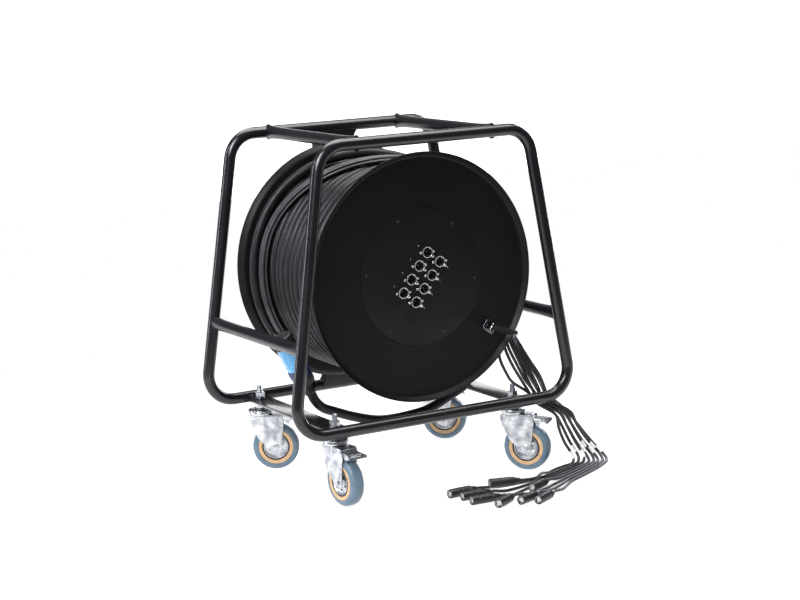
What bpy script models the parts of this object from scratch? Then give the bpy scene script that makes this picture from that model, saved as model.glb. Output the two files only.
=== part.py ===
# Network cable reel on a wheeled tube frame: frame, four braked swivel casters, cantilevered drum with a
# socket panel and a folding crank, wound trunk cable with its loose plug end, and eight thin tails.
# Units are metres, +Z is up, the crank and the sockets face -Y and the floor is Z = 0.
import math

import bmesh
import bpy
from mathutils import Matrix, Vector

# Fit between pieces that touch
GAP = 0.0003

# Frame tubes: two trapezoidal loops that lean towards each other
TUBE_RADIUS = 0.0125
LOOP_BOTTOM_WIDTH = 0.662
LOOP_TOP_WIDTH = 0.484
LOOP_BOTTOM_HEIGHT = 0.157
LOOP_TOP_HEIGHT = 0.725
LOOP_BOTTOM_SPACING = 0.414
LOOP_TOP_SPACING = 0.389
LOOP_BEND_RADIUS = 0.058
LOOP_BEND_STEPS = 6

# Cross tubes, pressed oval at their welded ends
TOP_CROSS_OFFSET = 0.158
SIDE_CROSS_HEIGHT = 0.330
FLARE_LENGTH = 0.075
FLARE_HALF_HEIGHT = 0.0155
FLARE_HALF_WIDTH = 0.0085

# Flat bars that carry the casters
BAR_WIDTH = 0.048
BAR_THICKNESS = 0.005
BAR_TOP_HEIGHT = 0.155

# Rear upright, a channel that opens to the rear
UPRIGHT_WIDTH = 0.090
UPRIGHT_DEPTH = 0.025
UPRIGHT_WALL = 0.004
UPRIGHT_FRONT = 0.1865
UPRIGHT_FLARE = 0.010

# Drum
DRUM_AXIS_HEIGHT = 0.437
DRUM_TURN = math.radians(-37.5)
FLANGE_RADIUS = 0.257
LIP_WIDTH = 0.011
LIP_DEPTH = 0.012
SHEET = 0.002
FRONT_FLANGE_FACE = 0.156
REAR_FLANGE_FACE = 0.161
BARREL_RADIUS = 0.150
BARREL_RING_RADIUS = 0.112
BULKHEAD_DEPTH = 0.100
DRUM_STEPS = 48
BARREL_STEPS = 32

# Axle and bearing hub
AXLE_RADIUS = 0.015
AXLE_PLATE_RADIUS = 0.045
AXLE_PLATE_THICKNESS = 0.008
AXLE_WASHER_RADIUS = 0.024
AXLE_WASHER_THICKNESS = 0.006
HUB_RADIUS = 0.030
HUB_PLATE_RADIUS = 0.055
HUB_PLATE_THICKNESS = 0.005
AXLE_STEPS = 20

# Socket panel
PANEL_RADIUS = 0.142
SOCKET_ROW_SPACING = 0.0365
SOCKET_COLUMN_SPACING = 0.0325
SOCKET_COLUMNS = 4
SOCKET_PLATE_LENGTH = 0.031
SOCKET_PLATE_WIDTH = 0.026
SOCKET_PLATE_THICKNESS = 0.0015
SOCKET_COLLAR_RADIUS = 0.0118
SOCKET_COLLAR_HEIGHT = 0.0035
SOCKET_BORE_RADIUS = 0.0098
SOCKET_BORE_DEPTH = 0.014
SOCKET_REAR_DEPTH = 0.020

# Folding crank
CRANK_RADIUS = 0.202
CRANK_BASE_LENGTH = 0.030
CRANK_BASE_WIDTH = 0.024
CRANK_BASE_THICKNESS = 0.003
CRANK_PIN_HEIGHT = 0.0125
CRANK_PIN_RADIUS = 0.0025
CRANK_EAR_THICKNESS = 0.003
CRANK_EYE_WIDTH = 0.009
CRANK_EYE_RADIUS = 0.0065
CRANK_ROD_RADIUS = 0.003
GRIP_RADIUS = 0.0068
GRIP_LENGTH = 0.074
GRIP_START = 0.010
CRANK_CAP_THICKNESS = 0.003

# Cable winding
TRUNK_RADIUS = 0.010
WINDING_RADIUS = 0.2163
WINDING_EDGE_GAP = 0.0005
WINDING_TURNS = 14
WINDING_POINTS_PER_TURN = 20

# Loose end of the trunk cable: its last turn lies on the winding from the lower left over the top to the right,
# then it hangs off, passes under the drum between the frame's lower tubes and climbs to the plug, which leans on
# the left cross tube. Rows are across and up.
TRUNK_PLANE = -0.030
TRUNK_SEAT = 0.0212
TRUNK_LEAD_TURN = math.radians(216)
TRUNK_LEAD_STEPS = 24
TRUNK_LEAD_CROSSING = math.radians(150)
TRUNK_LEAD_SHIFT = 0.162
TRUNK_ROUTE = [
    (0.2365, 0.370), (0.2360, 0.330), (0.2220, 0.260), (0.1950, 0.200), (0.1720, 0.165), (0.1360, 0.148),
    (0.0840, 0.127), (0.0340, 0.120), (-0.0370, 0.120), (-0.0990, 0.136), (-0.1450, 0.154), (-0.1740, 0.167),
]
PLUG_START = (-0.2000, 0.203)
PLUG_END = (-0.2635, 0.330)
PLUG_RADIUS = 0.0215
PLUG_GLAND_LENGTH = 0.044
PLUG_BODY_LENGTH = 0.073
PLUG_CAP_RADIUS = 0.0230
PLUG_CAP_LENGTH = 0.024

# Thin tails and their connectors. Each row is one tail: the angle at which it leaves the winding in degrees below
# the drum's right-hand side, then hand-chosen points across, forward-to-back and up; each tail ends at the
# connector of the same row, given by its nose and the point where its bushing ends.
TAIL_RADIUS = 0.00325
TAIL_LIFT = 0.0004
TAIL_SPACING = 0.0074
TAIL_FIRST_PLANE = -0.149
TAIL_FLOOR = 0.0036
TAIL_POINT_SPACING = 0.0235
TAIL_STARTS = (26, 22, 18.5, 15, 11, 7.5, 4, 0)
TAIL_ROUTES = [
    [
        (0.193, -0.1494, 0.300), (0.187, -0.1496, 0.268), (0.188, -0.150, 0.241), (0.195, -0.160, 0.213),
        (0.203, -0.170, 0.193), (0.230, -0.186, 0.170), (0.2470, -0.1872, 0.1550), (0.2585, -0.190, 0.138),
        (0.2925, -0.201, 0.112), (0.299, -0.200, 0.085), (0.315, -0.198, 0.048), (0.327, -0.201, 0.027),
        (0.331, -0.207, 0.012), (0.322, -0.214, 0.0045), (0.300, -0.219, TAIL_FLOOR), (0.270, -0.229, TAIL_FLOOR),
        (0.240, -0.243, 0.0045), (0.215, -0.259, 0.0105), (0.193, -0.280, 0.0140), (0.172, -0.303, 0.018),
        (0.150, -0.317, 0.0215),
    ],
    [
        (0.199, -0.1465, 0.285), (0.204, -0.149, 0.256), (0.214, -0.160, 0.222), (0.226, -0.172, 0.193),
        (0.238, -0.180, 0.168), (0.247, -0.1802, 0.152), (0.261, -0.182, 0.137), (0.2970, -0.190, 0.112),
        (0.313, -0.191, 0.085), (0.333, -0.191, 0.046), (0.344, -0.195, 0.026), (0.347, -0.203, 0.012),
        (0.338, -0.213, 0.0044), (0.315, -0.225, TAIL_FLOOR), (0.240, -0.256, TAIL_FLOOR),
        (0.195, -0.268, TAIL_FLOOR), (0.150, -0.272, TAIL_FLOOR), (0.110, -0.271, TAIL_FLOOR), (0.078, -0.270, 0.006),
    ],
    [
        (0.2065, -0.1415, 0.295), (0.212, -0.147, 0.262), (0.223, -0.159, 0.227), (0.2345, -0.1725, 0.193),
        (0.248, -0.1872, 0.167), (0.2565, -0.1872, 0.152), (0.270, -0.190, 0.137), (0.3055, -0.2015, 0.1125),
        (0.321, -0.199, 0.085), (0.341, -0.200, 0.047), (0.353, -0.201, 0.027), (0.357, -0.209, 0.0125),
        (0.348, -0.218, 0.0046), (0.325, -0.230, TAIL_FLOOR), (0.300, -0.2405, TAIL_FLOOR), (0.240, -0.267, TAIL_FLOOR),
        (0.195, -0.281, TAIL_FLOOR), (0.155, -0.294, TAIL_FLOOR), (0.115, -0.304, TAIL_FLOOR), (0.087, -0.309, 0.005),
    ],
    [
        (0.213, -0.1355, 0.300), (0.220, -0.145, 0.268), (0.232, -0.157, 0.229), (0.2435, -0.168, 0.193),
        (0.250, -0.180, 0.167), (0.2565, -0.1803, 0.152), (0.2735, -0.183, 0.137), (0.3095, -0.190, 0.112),
        (0.326, -0.190, 0.085), (0.348, -0.191, 0.046), (0.361, -0.194, 0.026), (0.367, -0.205, 0.013),
        (0.360, -0.222, 0.0046), (0.333, -0.239, TAIL_FLOOR), (0.300, -0.2525, TAIL_FLOOR), (0.240, -0.278, TAIL_FLOOR),
        (0.195, -0.292, TAIL_FLOOR), (0.165, -0.305, TAIL_FLOOR), (0.135, -0.319, TAIL_FLOOR), (0.110, -0.331, TAIL_FLOOR),
        (0.084, -0.343, 0.005),
    ],
    [
        (0.220, -0.1295, 0.303), (0.227, -0.142, 0.273), (0.239, -0.154, 0.233), (0.2505, -0.171, 0.193),
        (0.258, -0.187, 0.167), (0.2655, -0.187, 0.152), (0.2815, -0.190, 0.137), (0.3190, -0.2010, 0.1125),
        (0.334, -0.199, 0.085), (0.356, -0.200, 0.047), (0.370, -0.201, 0.027), (0.377, -0.210, 0.013),
        (0.370, -0.226, 0.005), (0.337, -0.2465, TAIL_FLOOR), (0.300, -0.2635, TAIL_FLOOR), (0.245, -0.287, TAIL_FLOOR),
        (0.222, -0.2965, 0.005),
    ],
    [
        (0.226, -0.1235, 0.302), (0.234, -0.138, 0.268), (0.247, -0.152, 0.231), (0.2605, -0.166, 0.193),
        (0.2655, -0.1795, 0.167), (0.268, -0.1805, 0.152), (0.287, -0.183, 0.138), (0.3200, -0.190, 0.112),
        (0.339, -0.190, 0.085), (0.364, -0.191, 0.046), (0.380, -0.194, 0.026), (0.387, -0.205, 0.013),
        (0.380, -0.228, 0.005), (0.345, -0.252, TAIL_FLOOR), (0.300, -0.275, TAIL_FLOOR), (0.240, -0.303, TAIL_FLOOR),
        (0.195, -0.327, TAIL_FLOOR), (0.150, -0.3485, TAIL_FLOOR), (0.128, -0.354, TAIL_FLOOR), (0.104, -0.354, 0.0055),
    ],
    [
        (0.231, -0.1175, 0.302), (0.240, -0.133, 0.268), (0.254, -0.149, 0.231), (0.269, -0.168, 0.193),
        (0.272, -0.187, 0.167), (0.278, -0.187, 0.152), (0.293, -0.190, 0.138), (0.3310, -0.2005, 0.1130),
        (0.346, -0.199, 0.085), (0.372, -0.200, 0.047), (0.389, -0.201, 0.027), (0.397, -0.211, 0.013),
        (0.389, -0.232, 0.005), (0.352, -0.2585, TAIL_FLOOR), (0.300, -0.286, TAIL_FLOOR), (0.240, -0.315, TAIL_FLOOR),
        (0.200, -0.341, TAIL_FLOOR), (0.165, -0.3605, 0.005),
    ],
    [
        (0.235, -0.112, 0.302), (0.248, -0.128, 0.268), (0.262, -0.146, 0.231), (0.2775, -0.166, 0.193),
        (0.280, -0.180, 0.167), (0.285, -0.1805, 0.152), (0.301, -0.184, 0.140), (0.330, -0.190, 0.113),
        (0.354, -0.191, 0.082), (0.380, -0.194, 0.048), (0.399, -0.196, 0.026), (0.407, -0.207, 0.013),
        (0.400, -0.232, 0.005), (0.360, -0.264, TAIL_FLOOR), (0.303, -0.296, TAIL_FLOOR), (0.240, -0.328, TAIL_FLOOR),
        (0.212, -0.350, TAIL_FLOOR), (0.188, -0.369, 0.005),
    ],
]
CONNECTOR_RADIUS = 0.0093
CONNECTOR_LENGTH = 0.066
CONNECTOR_FLOOR = CONNECTOR_RADIUS + GAP
CONNECTOR_TOP_LAYER = 0.0225
CONNECTOR_PLACES = [
    ((0.060, -0.2955), (0.124, -0.3135), CONNECTOR_TOP_LAYER),
    ((-0.023, -0.274), (0.043, -0.271), CONNECTOR_FLOOR),
    ((-0.012, -0.305), (0.054, -0.309), CONNECTOR_FLOOR),
    ((-0.014, -0.343), (0.052, -0.347), CONNECTOR_FLOOR),
    ((0.135, -0.338), (0.195, -0.3085), CONNECTOR_FLOOR),
    ((0.017, -0.394), (0.0745, -0.3616), CONNECTOR_FLOOR),
    ((0.065, -0.401), (0.1264, -0.3767), CONNECTOR_FLOOR),
    ((0.094, -0.420), (0.1525, -0.3893), CONNECTOR_FLOOR),
]

# Casters
CASTER_OFFSET = 0.214
CASTER_FRONT = -0.156
CASTER_REAR = 0.1825
CASTER_HEADINGS = {
    "front_left": (-1, CASTER_FRONT, math.radians(-85)),
    "rear_left": (-1, CASTER_REAR, math.radians(-30)),
    "front_right": (1, CASTER_FRONT, math.radians(-50)),
    "rear_right": (1, CASTER_REAR, math.radians(-37)),
}
WHEEL_RADIUS = 0.050
WHEEL_WIDTH = 0.030
TYRE_INNER_RADIUS = 0.0295
TYRE_SHOULDER = 0.006
HUB_BORE_RADIUS = 0.0053
WHEEL_BOLT_RADIUS = 0.005
WHEEL_BOLT_HEAD_RADIUS = 0.0085
WHEEL_BOLT_HEAD_HEIGHT = 0.005
TRAIL = 0.030
FORK_SHEET = 0.0025
FORK_SIDE_GAP = 0.002
FORK_CROWN_UNDERSIDE = 0.1185
FORK_CROWN_THICKNESS = 0.003
RACE_RADIUS = 0.026
RACE_HEIGHT = 0.007
HEAD_HEIGHT = 0.006
STEM_RADIUS = 0.006
STEM_TOP = 0.184
STEM_NUT_ACROSS_FLATS = 0.019
STEM_NUT_HEIGHT = 0.010
STEM_WASHER_RADIUS = 0.0115
STEM_WASHER_THICKNESS = 0.0035
STEM_SHOULDER_RADIUS = 0.012
PEDAL_PIN_OUT = 0.042
PEDAL_PIN_HEIGHT = 0.1115
PEDAL_PIN_RADIUS = 0.0022
PEDAL_CURL_RADIUS = 0.0048
PEDAL_REACH = 0.078
PEDAL_TIP_HALF_WIDTH = 0.021
CASTER_STEPS = 24
STEM_STEPS = 14
SOCKET_STEPS = 10

# The grip reaches further from the loops' middle plane than the rear loop does, so the whole reel is moved
# back by half the difference and its origin lies under the middle of its box.
GRIP_TIP = FRONT_FLANGE_FACE + CRANK_PIN_HEIGHT + GRIP_START + GRIP_LENGTH + GAP + CRANK_CAP_THICKNESS
LOOP_REACH = LOOP_BOTTOM_SPACING / 2 + TUBE_RADIUS
MIDDLE_PLANE_Y = (GRIP_TIP - LOOP_REACH) / 2


for old in list(bpy.data.objects):
    bpy.data.objects.remove(old, do_unlink=True)

reel_parts = bpy.data.collections.new("network_cable_reel")
tool_shapes = bpy.data.collections.new("cutters")
bpy.context.scene.collection.children.link(reel_parts)
bpy.context.scene.collection.children.link(tool_shapes)

reel = bpy.data.objects.new("reel_middle", None)
reel.location = (0, MIDDLE_PLANE_Y, 0)
reel_parts.objects.link(reel)


# Materials
def material(name, color, roughness, metallic=0.0):
    made = bpy.data.materials.new(name)
    made.use_nodes = True
    shader = made.node_tree.nodes["Principled BSDF"]
    shader.inputs["Base Color"].default_value = (*color, 1)
    shader.inputs["Roughness"].default_value = roughness
    shader.inputs["Metallic"].default_value = metallic
    made.diffuse_color = (*color, 1)
    return made


gloss_black = material("gloss_black_coat", (0.012, 0.012, 0.014), 0.28)
satin_black = material("satin_black_coat", (0.010, 0.010, 0.011), 0.5)
panel_black = material("panel_black", (0.012, 0.012, 0.013), 0.45)
bare_steel = material("bare_steel", (0.45, 0.45, 0.46), 0.35, 1.0)
zinc = material("bright_zinc", (0.70, 0.72, 0.75), 0.25, 1.0)
grey_tyre = material("grey_tyre", (0.13, 0.20, 0.28), 0.55)
chrome = material("chrome", (0.75, 0.75, 0.76), 0.12, 1.0)
black_plastic = material("black_plastic", (0.015, 0.015, 0.016), 0.4)
cable_jacket = material("cable_jacket", (0.022, 0.022, 0.026), 0.5)
blue_plastic = material("blue_plastic", (0.05, 0.22, 0.62), 0.3)


# Placing and joining
def add_object(name, data, surface, collection=reel_parts):
    made = bpy.data.objects.new(name, data)
    collection.objects.link(made)
    made.parent = reel
    if surface:
        made.data.materials.append(surface)
    return made


def as_cutter(made):
    for collection in list(made.users_collection):
        collection.objects.unlink(made)
    tool_shapes.objects.link(made)
    made.hide_render = True
    made.display_type = "WIRE"
    return made


def boolean(target, other, operation):
    step = target.modifiers.new(operation.lower(), "BOOLEAN")
    step.operation = operation
    step.solver = "EXACT"
    step.object = as_cutter(other)
    return target


def cut(target, other):
    return boolean(target, other, "DIFFERENCE")


def join(target, other):
    return boolean(target, other, "UNION")


def face_along(made, direction):
    """Turns an object so that its own +Z points along the direction."""
    made.rotation_mode = "QUATERNION"
    made.rotation_quaternion = Vector((0, 0, 1)).rotation_difference(Vector(direction))
    return made


def smooth(mesh, angle=35):
    mesh.shade_smooth()
    mesh.set_sharp_from_angle(angle=math.radians(angle))


# Shapes
def mesh_object(name, shape, surface):
    mesh = bpy.data.meshes.new(name)
    shape.to_mesh(mesh)
    shape.free()
    smooth(mesh)
    return add_object(name, mesh, surface)


def box(name, size, centre, surface=None):
    shape = bmesh.new()
    bmesh.ops.create_cube(shape, size=1)
    bmesh.ops.scale(shape, vec=size, verts=shape.verts)
    made = mesh_object(name, shape, surface)
    made.location = centre
    return made


def cylinder(name, radius, length, centre, direction, surface=None, sides=24):
    shape = bmesh.new()
    bmesh.ops.create_cone(shape, cap_ends=True, segments=sides, radius1=radius, radius2=radius, depth=length)
    made = mesh_object(name, shape, surface)
    made.location = centre
    return face_along(made, direction)


def turned(name, profile, surface, steps, closed=False):
    """Turns a profile of (radius, height) points about the object's own Z, outer side from top to bottom."""
    mesh = bpy.data.meshes.new(name)
    points = [(radius, 0, height) for radius, height in profile]
    edges = [(i, i + 1) for i in range(len(points) - 1)]
    if closed:
        edges.append((len(points) - 1, 0))
    mesh.from_pydata(points, edges, [])
    made = add_object(name, mesh, surface)
    screw = made.modifiers.new("turn", "SCREW")
    screw.axis = "Z"
    screw.steps = screw.render_steps = steps
    screw.use_merge_vertices = True
    screw.merge_threshold = 0.00001
    screw.use_smooth_shade = True
    return made


def plate(name, outline, thickness, surface=None):
    """Extrudes a closed outline of (x, y) points by a thickness centred on the object's own XY plane."""
    shape = bmesh.new()
    corners = [shape.verts.new((x, y, -thickness / 2)) for x, y in outline]
    face = shape.faces.new(corners)
    grown = bmesh.ops.extrude_face_region(shape, geom=[face])
    top = [item for item in grown["geom"] if isinstance(item, bmesh.types.BMVert)]
    bmesh.ops.translate(shape, vec=(0, 0, thickness), verts=top)
    bmesh.ops.recalc_face_normals(shape, faces=shape.faces)
    return mesh_object(name, shape, surface)


def tube(name, points, radius, surface, resolution=2, closed=False):
    path = bpy.data.curves.new(name, "CURVE")
    path.dimensions = "3D"
    path.bevel_depth = radius
    path.bevel_resolution = resolution
    path.use_fill_caps = not closed
    spline = path.splines.new("POLY")
    spline.points.add(len(points) - 1)
    for place, point in zip(spline.points, points):
        place.co = (*point, 1)
    spline.use_cyclic_u = closed
    spline.use_smooth = True
    return add_object(name, path, surface)


def tube_mesh(name, points, radius, surface, resolution=2, closed=False):
    """A tube as a mesh with its caps welded on, for booleans."""
    path = tube(name + "_path", points, radius, None, resolution, closed)
    bpy.context.view_layer.update()
    evaluated = path.evaluated_get(bpy.context.evaluated_depsgraph_get())
    mesh = bpy.data.meshes.new_from_object(evaluated)
    shape = bmesh.new()
    shape.from_mesh(mesh)
    bmesh.ops.remove_doubles(shape, verts=shape.verts, dist=0.00001)
    bmesh.ops.recalc_face_normals(shape, faces=shape.faces)
    shape.to_mesh(mesh)
    shape.free()
    smooth(mesh)
    bpy.data.objects.remove(path, do_unlink=True)
    mesh.name = name
    return add_object(name, mesh, surface)


# Smooth curves
def arc(centre, radius, start, end, steps):
    """Points on an arc in a plane, as (across, up), from one angle to another."""
    turn = (end - start) / steps
    angles = [start + turn * i for i in range(steps + 1)]
    return [(centre[0] + radius * math.cos(a), centre[1] + radius * math.sin(a)) for a in angles]


def round_corners(corners, radius, steps):
    """A closed outline with every corner replaced by an arc of one radius."""
    rounded = []
    for i, corner in enumerate(corners):
        here = Vector(corner)
        before = (Vector(corners[i - 1]) - here).normalized()
        after = (Vector(corners[(i + 1) % len(corners)]) - here).normalized()
        half = before.angle(after) / 2
        centre = here + (before + after).normalized() * (radius / math.sin(half))
        first = here + before * (radius / math.tan(half)) - centre
        last = here + after * (radius / math.tan(half)) - centre
        start = math.atan2(first.y, first.x)
        sweep = math.atan2(first.x * last.y - first.y * last.x, first.dot(last))
        rounded += arc(centre, radius, start, start + sweep, steps)
    return rounded


def curve_through(points, step):
    """Even points on a smooth curve through the route's own points; its first and last stretch stay straight."""
    route = [Vector(p) for p in points]
    route.insert(0, route[0] * 2 - route[1])
    route.append(route[-1] * 2 - route[-2])
    fine = []
    for i in range(1, len(route) - 2):
        p0, p1, p2, p3 = route[i - 1 : i + 3]
        t0 = 0.0
        t1 = t0 + math.sqrt((p1 - p0).length)
        t2 = t1 + math.sqrt((p2 - p1).length)
        t3 = t2 + math.sqrt((p3 - p2).length)
        for j in range(24):
            t = t1 + (t2 - t1) * j / 24
            a1 = p0.lerp(p1, (t - t0) / (t1 - t0))
            a2 = p1.lerp(p2, (t - t1) / (t2 - t1))
            a3 = p2.lerp(p3, (t - t2) / (t3 - t2))
            b1 = a1.lerp(a2, (t - t0) / (t2 - t0))
            b2 = a2.lerp(a3, (t - t1) / (t3 - t1))
            fine.append(b1.lerp(b2, (t - t1) / (t2 - t1)))
    fine.append(route[-2])
    total = sum((b - a).length for a, b in zip(fine, fine[1:]))
    count = max(2, round(total / step))
    even, walked, target = [fine[0]], 0.0, total / count
    for a, b in zip(fine, fine[1:]):
        length = (b - a).length
        while walked + length >= target - 1e-9 and len(even) < count:
            even.append(a.lerp(b, (target - walked) / length))
            target += total / count
        walked += length
    first, second, before_last, last = (Vector(points[i]) for i in (0, 1, -2, -1))
    middle = [p for p in even[1:] if (p - second).dot(second - first) > 0 or (p - second).length > step]
    middle = [p for p in middle if (p - before_last).dot(before_last - last) > 0 or (p - before_last).length > step]
    middle = [p for p in middle if min((p - second).length, (p - before_last).length) > step * 0.4]
    return [first, second] + middle + [before_last, last], total


# Frame
def loop_y(side, height):
    """Distance of a leaning loop's middle from the middle plane at a height; side is -1 front, 1 rear."""
    share = (height - LOOP_BOTTOM_HEIGHT) / (LOOP_TOP_HEIGHT - LOOP_BOTTOM_HEIGHT)
    return side * (LOOP_BOTTOM_SPACING + (LOOP_TOP_SPACING - LOOP_BOTTOM_SPACING) * share) / 2


def loop_x(height):
    """Half the width between a loop's legs at a height."""
    share = (height - LOOP_BOTTOM_HEIGHT) / (LOOP_TOP_HEIGHT - LOOP_BOTTOM_HEIGHT)
    return (LOOP_BOTTOM_WIDTH + (LOOP_TOP_WIDTH - LOOP_BOTTOM_WIDTH) * share) / 2


def loop_path(side):
    corners = [
        (-LOOP_BOTTOM_WIDTH / 2, LOOP_BOTTOM_HEIGHT),
        (LOOP_BOTTOM_WIDTH / 2, LOOP_BOTTOM_HEIGHT),
        (LOOP_TOP_WIDTH / 2, LOOP_TOP_HEIGHT),
        (-LOOP_TOP_WIDTH / 2, LOOP_TOP_HEIGHT),
    ]
    flat = round_corners(corners, LOOP_BEND_RADIUS, LOOP_BEND_STEPS)
    return [(x, loop_y(side, z), z) for x, z in flat]


def make_loops():
    tube("front_loop", loop_path(-1), TUBE_RADIUS, gloss_black, resolution=3, closed=True)
    tube("rear_loop", loop_path(1), TUBE_RADIUS, gloss_black, resolution=3, closed=True)


def loop_cutter(side):
    return tube_mesh("loop_clearance", loop_path(side), TUBE_RADIUS + GAP, None, resolution=3, closed=True)


def seat_between_loops(made):
    cut(made, loop_cutter(-1))
    cut(made, loop_cutter(1))


def cross_tube(name, x, height):
    """A round tube whose ends are pressed oval, mitred to both loops."""
    front, rear = loop_y(-1, height), loop_y(1, height)
    near = [0.0, 0.25, 0.5, 0.75, 1.0]
    stations = [(front + FLARE_LENGTH * t, t) for t in near] + [(rear - FLARE_LENGTH * t, t) for t in reversed(near)]
    shape = bmesh.new()
    rings = []
    for y, t in stations:
        ease = 1 - (1 - t) ** 2
        half_width = FLARE_HALF_WIDTH + (TUBE_RADIUS - FLARE_HALF_WIDTH) * ease
        half_height = FLARE_HALF_HEIGHT + (TUBE_RADIUS - FLARE_HALF_HEIGHT) * ease
        angles = [2 * math.pi * i / 14 for i in range(14)]
        rings.append([shape.verts.new((half_width * math.cos(a), y, half_height * math.sin(a))) for a in angles])
    for ring, following in zip(rings, rings[1:]):
        for i in range(14):
            j = (i + 1) % 14
            shape.faces.new((ring[i], ring[j], following[j], following[i]))
    shape.faces.new(rings[0])
    shape.faces.new(rings[-1])
    bmesh.ops.recalc_face_normals(shape, faces=shape.faces)
    made = mesh_object(name, shape, gloss_black)
    made.location = (x, 0, height)
    seat_between_loops(made)


def make_cross_tubes():
    for side, label in ((-1, "left"), (1, "right")):
        cross_tube("top_cross_tube_" + label, side * TOP_CROSS_OFFSET, LOOP_TOP_HEIGHT)
        cross_tube("side_cross_tube_" + label, side * loop_x(SIDE_CROSS_HEIGHT), SIDE_CROSS_HEIGHT)


def make_caster_bars():
    middle = BAR_TOP_HEIGHT - BAR_THICKNESS / 2
    for side, label in ((-1, "left"), (1, "right")):
        bar = box(
            "caster_bar_" + label,
            (BAR_WIDTH, LOOP_BOTTOM_SPACING, BAR_THICKNESS),
            (side * CASTER_OFFSET, 0, middle),
            satin_black,
        )
        seat_between_loops(bar)
        for y in (CASTER_FRONT, CASTER_REAR):
            hole = cylinder("stem_hole", STEM_RADIUS + GAP, 3 * BAR_THICKNESS, (side * CASTER_OFFSET, y, middle), (0, 0, 1))
            cut(bar, hole)


def make_upright():
    """A channel between the rear tubes, its ends flaring a little where they are welded."""
    low, high = LOOP_BOTTOM_HEIGHT, LOOP_TOP_HEIGHT
    half = UPRIGHT_WIDTH / 2
    flare_start = TUBE_RADIUS + 2 * UPRIGHT_FLARE
    right_side = [(half + UPRIGHT_FLARE, low)]
    for i in range(1, 5):
        turn = math.pi / 2 * i / 4
        across = half + UPRIGHT_FLARE * (1 - math.sin(turn))
        right_side.append((across, low + TUBE_RADIUS + (flare_start - TUBE_RADIUS) * (1 - math.cos(turn))))
    upper = [(x, low + high - z) for x, z in reversed(right_side)]
    right_side += upper
    outline = right_side + [(-x, z) for x, z in reversed(right_side)]
    web = plate("rear_upright", outline, UPRIGHT_DEPTH, gloss_black)
    web.rotation_euler = (math.pi / 2, 0, 0)
    web.location = (0, UPRIGHT_FRONT + UPRIGHT_DEPTH / 2, 0)
    hollow = box(
        "upright_hollow",
        (UPRIGHT_WIDTH - 2 * UPRIGHT_WALL, UPRIGHT_DEPTH, high - low + 4 * TUBE_RADIUS),
        (0, UPRIGHT_FRONT + UPRIGHT_DEPTH / 2 + UPRIGHT_WALL, (low + high) / 2),
    )
    cut(web, hollow)
    cut(web, loop_cutter(1))


def make_axle():
    """A stub axle on a round plate against the upright, with the washer that keeps the drum on."""
    plate_face = UPRIGHT_FRONT - GAP
    washer_rear = -(BULKHEAD_DEPTH + GAP)
    front = -washer_rear + AXLE_WASHER_THICKNESS
    profile = [
        (0, front),
        (AXLE_RADIUS * 0.8, front),
        (AXLE_RADIUS * 0.8, front - AXLE_WASHER_THICKNESS / 2),
        (AXLE_WASHER_RADIUS, front - AXLE_WASHER_THICKNESS / 2),
        (AXLE_WASHER_RADIUS, -washer_rear),
        (AXLE_RADIUS, -washer_rear),
        (AXLE_RADIUS, -plate_face + AXLE_PLATE_THICKNESS),
        (AXLE_PLATE_RADIUS, -plate_face + AXLE_PLATE_THICKNESS),
        (AXLE_PLATE_RADIUS, -plate_face),
        (0, -plate_face),
    ]
    axle = turned("axle", profile, bare_steel, AXLE_STEPS)
    axle.location = (0, 0, DRUM_AXIS_HEIGHT)
    face_along(axle, (0, -1, 0))


# Drum: every profile runs along the drum's own axis, which points to the front
def on_drum_axis(made):
    made.location = (0, 0, DRUM_AXIS_HEIGHT)
    return face_along(made, (0, -1, 0))


def flange_profile(face, inner_radius, outward):
    """Pressed disc with a lip that flares away from the winding; outward is 1 at the front and -1 at the rear."""
    lip_start = FLANGE_RADIUS - LIP_WIDTH
    outer = [(inner_radius, face), (lip_start, face), (FLANGE_RADIUS - SHEET, face + LIP_DEPTH), (FLANGE_RADIUS, face + LIP_DEPTH)]
    inner = [(FLANGE_RADIUS, face + LIP_DEPTH - SHEET), (lip_start + SHEET / 2, face - SHEET), (inner_radius, face - SHEET)]
    profile = outer + inner
    if outward < 0:
        profile = [(radius, -height) for radius, height in reversed(profile)]
    return profile


def make_flanges():
    front = flange_profile(FRONT_FLANGE_FACE, PANEL_RADIUS + 2 * GAP, 1)
    on_drum_axis(turned("front_flange", front, satin_black, DRUM_STEPS, closed=True))
    rear = flange_profile(REAR_FLANGE_FACE, HUB_RADIUS + GAP, -1)
    on_drum_axis(turned("rear_flange", rear, satin_black, DRUM_STEPS, closed=True))


def make_barrel():
    """Core tube with an inward ring that the flange and panel are screwed to, and a bulkhead round the hub."""
    front = FRONT_FLANGE_FACE - SHEET - GAP
    rear = -(REAR_FLANGE_FACE - SHEET - GAP)
    bulkhead = BULKHEAD_DEPTH - 0.010
    profile = [
        (BARREL_RING_RADIUS, front),
        (BARREL_RADIUS, front),
        (BARREL_RADIUS, rear),
        (BARREL_RADIUS - SHEET, rear),
        (BARREL_RADIUS - SHEET, bulkhead - SHEET),
        (HUB_RADIUS + GAP, bulkhead - SHEET),
        (HUB_RADIUS + GAP, bulkhead),
        (BARREL_RADIUS - SHEET, bulkhead),
        (BARREL_RADIUS - SHEET, front - SHEET),
        (BARREL_RING_RADIUS, front - SHEET),
    ]
    on_drum_axis(turned("drum_barrel", profile, satin_black, BARREL_STEPS, closed=True))


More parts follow.
